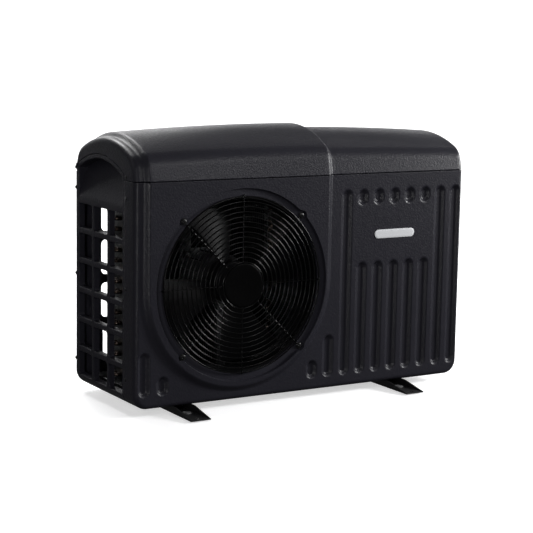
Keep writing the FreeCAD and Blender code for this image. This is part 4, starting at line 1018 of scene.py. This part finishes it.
def badge_plate():
    """Blank plate with softly rounded edges."""
    cx = (BADGE_LOW[0] + BADGE_HIGH[0]) / 2
    cz = (BADGE_LOW[2] + BADGE_HIGH[2]) / 2
    half = (BADGE_HIGH[0] - BADGE_LOW[0]) / 2
    r = (BADGE_HIGH[2] - BADGE_LOW[2]) / 2
    thick = BADGE_HIGH[1] - BADGE_LOW[1]
    turn = full_turn(96) + 1e-4        # keeps every point off the line between the two ends
    rows = []
    edge = [(0, 0), (0, thick - 0.5), (0.15, thick - 0.2), (0.5, thick), (0.5 * r, thick), (r - 0.02, thick)]
    for inset, lift in edge:
        x = cx + np.sign(np.cos(turn)) * (half - r) + (r - inset) * np.cos(turn)
        z = cz + (r - inset) * np.sin(turn)
        rows.append(np.stack([x, 0 * x + BADGE_HIGH[1] - lift, z], axis=-1))
    sheet = Sheet()
    sheet.grid(np.array(rows), closed=True)
    return sheet.mesh("badge_plate", (0, -1, 0))


# ---- stage ----------------------------------------------------------------------------
def stage_bowl(name, run, rise, angles):
    """Part of a round studio, from its distances and heights and the directions that it fills."""
    points = [np.stack([r * np.cos(angles), r * np.sin(angles), 0 * angles + z], axis=-1) / MM
              for r, z in zip(run, rise)]
    sheet = Sheet()
    sheet.grid(np.array(points))
    data = sheet.mesh(name, (0, 0, 1))
    data.polygons.foreach_set("use_smooth", [True] * len(data.polygons))
    piece = bpy.data.objects.new(name, data)
    bpy.context.scene.collection.objects.link(piece)
    return piece


def soft_light(name, place_at, target, width, height, power):
    """White area light turned to its target."""
    data = bpy.data.lights.new(name, "AREA")
    data.shape = "RECTANGLE"
    data.size = width
    data.size_y = height
    data.energy = power
    lamp = bpy.data.objects.new(name, data)
    bpy.context.scene.collection.objects.link(lamp)
    lamp.location = place_at
    lamp.rotation_euler = (Vector(target) - lamp.location).to_track_quat("-Z", "Y").to_euler()


def studio_camera(stage):
    """Camera at its distance from the target, turned, raised and leaning."""
    data = bpy.data.cameras.new("Studio camera")
    data.sensor_width = 36.0
    data.lens = stage.lens
    camera = bpy.data.objects.new("Studio camera", data)
    bpy.context.scene.collection.objects.link(camera)
    az, el, roll = stage.azimuth, stage.elevation, stage.roll
    back = Vector((math.sin(az) * math.cos(el), -math.cos(az) * math.cos(el), math.sin(el)))
    right = (-back).cross(Vector((0, 0, 1))).normalized()
    up = right.cross(-back)
    side = right * math.cos(roll) + up * math.sin(roll)
    rise = up * math.cos(roll) - right * math.sin(roll)
    turn = Matrix((side, rise, back)).transposed()
    camera.matrix_world = Matrix.Translation(Vector(stage.target) + back * stage.distance) @ turn.to_4x4()
    bpy.context.scene.camera = camera


MIDDLE = (0.0, 0.0, 0.3)
# name, place and target in metres, width, height, property that holds the power
LIGHTS = [
    ("Key light", (2.9, -1.35, 1.2), MIDDLE, 0.8, 0.9, "key_power"),
    ("Sheen light", (0.30, -1.35, 1.12), (-0.25, -0.2, 0.6), 0.35, 0.3, "sheen_power"),
    ("Edge light", (-2.0, -2.2, 0.6), MIDDLE, 0.12, 1.2, "edge_power"),
    ("Strip light", (2.5, 0.1, 0.62), MIDDLE, 0.35, 1.2, "strip_power"),
    ("Fill light", (-3.0, 0.6, 1.6), MIDDLE, 1.0, 1.6, "fill_power"),
    ("Top light", (0.2, -0.9, 3.0), (0.1, -0.5, 0.0), 4.0, 2.4, "top_power"),
    ("Rear light", (-0.3, 2.4, 3.0), MIDDLE, 1.6, 1.2, "rear_power"),
    ("Crest light", (0.6, 3.0, 1.8), MIDDLE, 1.6, 1.2, "crest_power"),
    ("Backdrop light", (1.1, 2.0, 3.4), (2.7, 4.4, 0.4), 5.0, 1.2, "backdrop_power"),
]


# ---- properties -----------------------------------------------------------------------
class HeatPumpCase(bpy.types.PropertyGroup):
    colour: FloatVectorProperty(name="Colour", description="Colour of the moulded case", subtype="COLOR",
                                size=3, min=0.0, max=1.0, default=(0.0160, 0.0155, 0.0210))
    groove_depth: FloatProperty(name="Groove depth", description="Depth of the upright grooves, in millimetres",
                                default=7.5, min=1.0, max=10.0)
    groove_wall: FloatProperty(name="Groove wall", description="Width of a groove's sloping wall, in millimetres",
                               default=11.0, min=2.0, max=16.0)
    shoulder_radius: FloatProperty(name="Shoulder radius", default=48.0, min=4.0, max=60.0,
                                   description="Radius between the cover's wall and its crown, in millimetres")
    mesh_step: FloatProperty(name="Mesh step", default=2.4, min=1.0, max=8.0,
                             description="Largest step between the front's mesh lines, in millimetres")


class HeatPumpGuard(bpy.types.PropertyGroup):
    rings: IntProperty(name="Rings", description="Number of rings in the fan guard", default=14, min=4, max=24)
    ring_pitch: FloatProperty(name="Ring pitch", description="Distance from ring to ring", unit="LENGTH",
                              default=0.01195, min=0.005, max=0.03)
    ring_wire: FloatProperty(name="Ring wire", description="Diameter of the rings' wire", unit="LENGTH",
                             default=0.0032, min=0.001, max=0.006)


class HeatPumpFan(bpy.types.PropertyGroup):
    blades: IntProperty(name="Blades", description="Number of blades on the rotor", default=4, min=2, max=7)
    span: FloatProperty(name="Blade span", description="Angle that a blade covers at the hub", subtype="ANGLE",
                        default=math.radians(40.0), min=0.2, max=1.5)
    lead: FloatProperty(name="Leading edge", description="Angle of a blade's leading edge at the hub", subtype="ANGLE",
                        default=math.radians(125.0))
    sweep: FloatProperty(name="Sweep", description="How far the tip runs ahead of the hub", subtype="ANGLE",
                         default=math.radians(5.0))
    blade_thickness: FloatProperty(name="Blade thickness", description="Thickness in the middle of a blade",
                                   unit="LENGTH", default=0.0026, min=0.001, max=0.01)


class HeatPumpStage(bpy.types.PropertyGroup):
    lens: FloatProperty(name="Lens", description="Focal length in millimetres", default=105.24, min=20, max=300)
    distance: FloatProperty(name="Distance", description="From the camera to its target", unit="LENGTH",
                            default=3.8981, min=1.0, max=20.0)
    azimuth: FloatProperty(name="Azimuth", description="Camera's turn to the left of the front", subtype="ANGLE",
                           default=math.radians(-30.95))
    elevation: FloatProperty(name="Elevation", description="Camera's height above level", subtype="ANGLE",
                             default=math.radians(8.73))
    roll: FloatProperty(name="Roll", description="Camera's lean", subtype="ANGLE", default=math.radians(1.01))
    target: FloatVectorProperty(name="Target", description="Point that the camera looks at", subtype="XYZ",
                                unit="LENGTH", size=3, default=(-0.02584, -0.01581, 0.30954))
    floor_colour: FloatVectorProperty(name="Floor colour", description="Colour of the studio floor", subtype="COLOR",
                                      size=3, min=0.0, max=1.0, default=(0.86, 0.86, 0.87))
    key_power: FloatProperty(name="Key power", description="Strength of the light from the right, in watts",
                             default=124.0, min=0.0)
    fill_power: FloatProperty(name="Fill power", description="Strength of the light from the left, in watts",
                              default=6.0, min=0.0)
    top_power: FloatProperty(name="Top power", description="Strength of the light from above, in watts",
                             default=3.0, min=0.0)
    backdrop_power: FloatProperty(name="Backdrop power", description="Strength of the light on the backdrop, in watts",
                                  default=120.0, min=0.0)
    strip_power: FloatProperty(name="Strip power", description="Strength of the low strip light at the right, in watts",
                               default=26.0, min=0.0)
    edge_power: FloatProperty(name="Edge power", description="Strength of the thin light at the left front, in watts",
                              default=20.0, min=0.0)
    sheen_power: FloatProperty(name="Sheen power", default=4.0, min=0.0,
                               description="Strength of the light that the cover's shoulder mirrors, in watts")
    rear_power: FloatProperty(name="Rear power", description="Strength of the light behind the unit, in watts",
                              default=90.0, min=0.0)
    crest_power: FloatProperty(name="Crest power", description="Strength of the light that edges the crest, in watts",
                               default=10.0, min=0.0)
    floor_glow: FloatProperty(name="Floor glow", description="Light that the floor itself gives off", default=0.55,
                              min=0.0)
    air_strength: FloatProperty(name="Air strength", description="Brightness of the even light all round",
                                default=0.06, min=0.0)


# ---- operators ------------------------------------------------------------------------
class HEATPUMP_OT_case_shells(bpy.types.Operator):
    """Builds the front and rear panels and the top cover"""

    bl_idname = "heatpump.case_shells"
    bl_label = "Case shells"

    def execute(self, context):
        finish = finish_for("abs_charcoal")
        place("front_panel_shell", front_shell(), "casing", ["front_panel"], finish, WALL)
        place("rear_panel_shell", rear_shell(), "casing", ["rear_panel"], finish, WALL)
        place("top_cover_shell", cover_shell(), "casing", ["top_cover"], finish, WALL)
        return {"FINISHED"}


class HEATPUMP_OT_side_panels(bpy.types.Operator):
    """Builds the grille side and the plain side with their hand scoops"""

    bl_idname = "heatpump.side_panels"
    bl_label = "Side panels"

    def execute(self, context):
        finish = finish_for("abs_charcoal")
        place("left_panel_shell", side_shell(-1, True), "casing", ["left_panel"], finish, PANEL_WALL)
        place("right_panel_shell", side_shell(1, False), "casing", ["right_panel"], finish, PANEL_WALL)
        return {"FINISHED"}


class HEATPUMP_OT_fan_guard(bpy.types.Operator):
    """Builds the guard's rings, spokes and cap"""

    bl_idname = "heatpump.fan_guard"
    bl_label = "Fan guard"

    def execute(self, context):
        finish = finish_for("guard_black")
        place("guard_ring_wires", guard_wires(), "casing", ["guard_rings"], finish)
        place("guard_spoke_wires", guard_spokes(), "casing", ["guard_spokes"], finish)
        cap_finish = coated_steel("Guard cap", (0.0015, 0.0015, 0.0016), 0.34, specular=0.04)
        place("guard_centre_cap", guard_disc(), "casing", ["guard_cap"], cap_finish)
        low, high = frame_box("guard_screws")
        heads = pan_screws(GUARD_SCREWS, low[1] - 0.4, high[1], GUARD_SCREW_HEAD_R, GUARD_SCREW_SHANK_R)
        place("guard_screw_heads", heads, "casing", ["guard_screws"], finish_for("screw_black"))
        return {"FINISHED"}


class HEATPUMP_OT_fan(bpy.types.Operator):
    """Builds the fan rotor"""

    bl_idname = "heatpump.fan"
    bl_label = "Fan"

    def execute(self, context):
        place("fan_rotor_moulding", fan_rotor(), "fan", ["fan_rotor"], finish_for("fan_plastic"))
        return {"FINISHED"}


class HEATPUMP_OT_badge(bpy.types.Operator):
    """Builds the blank badge plate"""

    bl_idname = "heatpump.badge"
    bl_label = "Badge"

    def execute(self, context):
        place("badge_blank", badge_plate(), "casing", ["badge"], finish_for("badge_light"))
        return {"FINISHED"}


class HEATPUMP_OT_finishes(bpy.types.Operator):
    """Gives every remaining part of the frame its finish"""

    bl_idname = "heatpump.finishes"
    bl_label = "Finishes"

    def execute(self, context):
        for row in frame["record"]["subparts"]:
            part = frame["nodes"][row["node"]]
            part.data.materials.clear()
            part.data.materials.append(finish_for(row["material_slot"]))
        return {"FINISHED"}


class HEATPUMP_OT_stage(bpy.types.Operator):
    """Sets up the floor, the backdrop, the lights and the camera"""

    bl_idname = "heatpump.stage"
    bl_label = "Stage"

    def execute(self, context):
        stage = context.scene.heat_pump_stage
        bend = np.linspace(0, math.pi / 2, 16)[1:]
        run = np.concatenate([[3.8], 3.8 + 1.2 * np.sin(bend), [5.0, 5.0]])
        rise = np.concatenate([[0.0], 1.2 * (1 - np.cos(bend)), [1.6, 2.2]])
        behind = stage.azimuth + math.pi / 2 + np.linspace(-0.8, 0.8, 25)
        wall = stage_bowl("studio_backdrop", run, rise, behind)
        run = np.concatenate([np.linspace(0, 6.0, 7), 6.0 + 1.5 * np.sin(bend), [7.5, 7.5]])
        rise = np.concatenate([np.zeros(7), 1.5 * (1 - np.cos(bend)), [3.0, 5.0]])
        floor = stage_bowl("studio_floor", run, rise, np.linspace(0, 2 * math.pi, 73))
        material, tree, shader = start_material("Studio floor", tuple(stage.floor_colour), 0.6, specular=0.2)
        shader.inputs["Emission Color"].default_value = (1.0, 1.0, 1.0, 1.0)
        shader.inputs["Emission Strength"].default_value = stage.floor_glow
        tone = two_tones(tree, noise(tree, 3.0), scaled(stage.floor_colour, 0.985), scaled(stage.floor_colour, 1.01))
        tree.links.new(tone, shader.inputs["Base Color"])
        for piece in (floor, wall):
            piece.data.materials.append(material)
        # The floor is seen, but it neither lights the case from below nor is mirrored in it.
        floor.visible_diffuse = False
        floor.visible_glossy = False
        world = bpy.data.worlds.new("Studio air")
        context.scene.world = world
        world.use_nodes = True
        world.node_tree.nodes["Background"].inputs["Color"].default_value = (1.0, 1.0, 1.0, 1.0)
        world.node_tree.nodes["Background"].inputs["Strength"].default_value = stage.air_strength
        for name, place_at, target, width, height, power in LIGHTS:
            soft_light(name, place_at, target, width, height, getattr(stage, power))
        context.scene.view_settings.view_transform = "Standard"
        studio_camera(stage)
        return {"FINISHED"}


class HEATPUMP_PT_panel(bpy.types.Panel):
    """Lists the pieces and their sizes"""

    bl_label = "Heat pump"
    bl_idname = "HEATPUMP_PT_panel"
    bl_space_type = "VIEW_3D"
    bl_region_type = "UI"
    bl_category = "Heat pump"

    def draw(self, context):
        for name in GROUPS:
            group = getattr(context.scene, name)
            box = self.layout.box()
            box.label(text=name.split("_")[-1].capitalize())
            for value in group.__annotations__:
                box.prop(group, value)
        for operator in OPERATORS:
            self.layout.operator(operator.bl_idname)


OPERATORS = [
    HEATPUMP_OT_finishes,
    HEATPUMP_OT_case_shells,
    HEATPUMP_OT_side_panels,
    HEATPUMP_OT_fan,
    HEATPUMP_OT_fan_guard,
    HEATPUMP_OT_badge,
    HEATPUMP_OT_stage,
]
GROUPS = {
    "heat_pump_case": HeatPumpCase,
    "heat_pump_guard": HeatPumpGuard,
    "heat_pump_fan": HeatPumpFan,
    "heat_pump_stage": HeatPumpStage,
}
CLASSES = list(GROUPS.values()) + OPERATORS + [HEATPUMP_PT_panel]


def register():
    for cls in CLASSES:
        bpy.utils.register_class(cls)
    for name, group in GROUPS.items():
        setattr(bpy.types.Scene, name, PointerProperty(type=group))


def unregister():
    for name in GROUPS:
        delattr(bpy.types.Scene, name)
    for cls in reversed(CLASSES):
        bpy.utils.unregister_class(cls)


def main():
    register()
    bpy.ops.heatpump.finishes()
    bpy.ops.heatpump.case_shells()
    bpy.ops.heatpump.side_panels()
    bpy.ops.heatpump.fan()
    bpy.ops.heatpump.fan_guard()
    bpy.ops.heatpump.badge()
    bpy.ops.heatpump.stage()


if __name__ == "__main__":
    main()
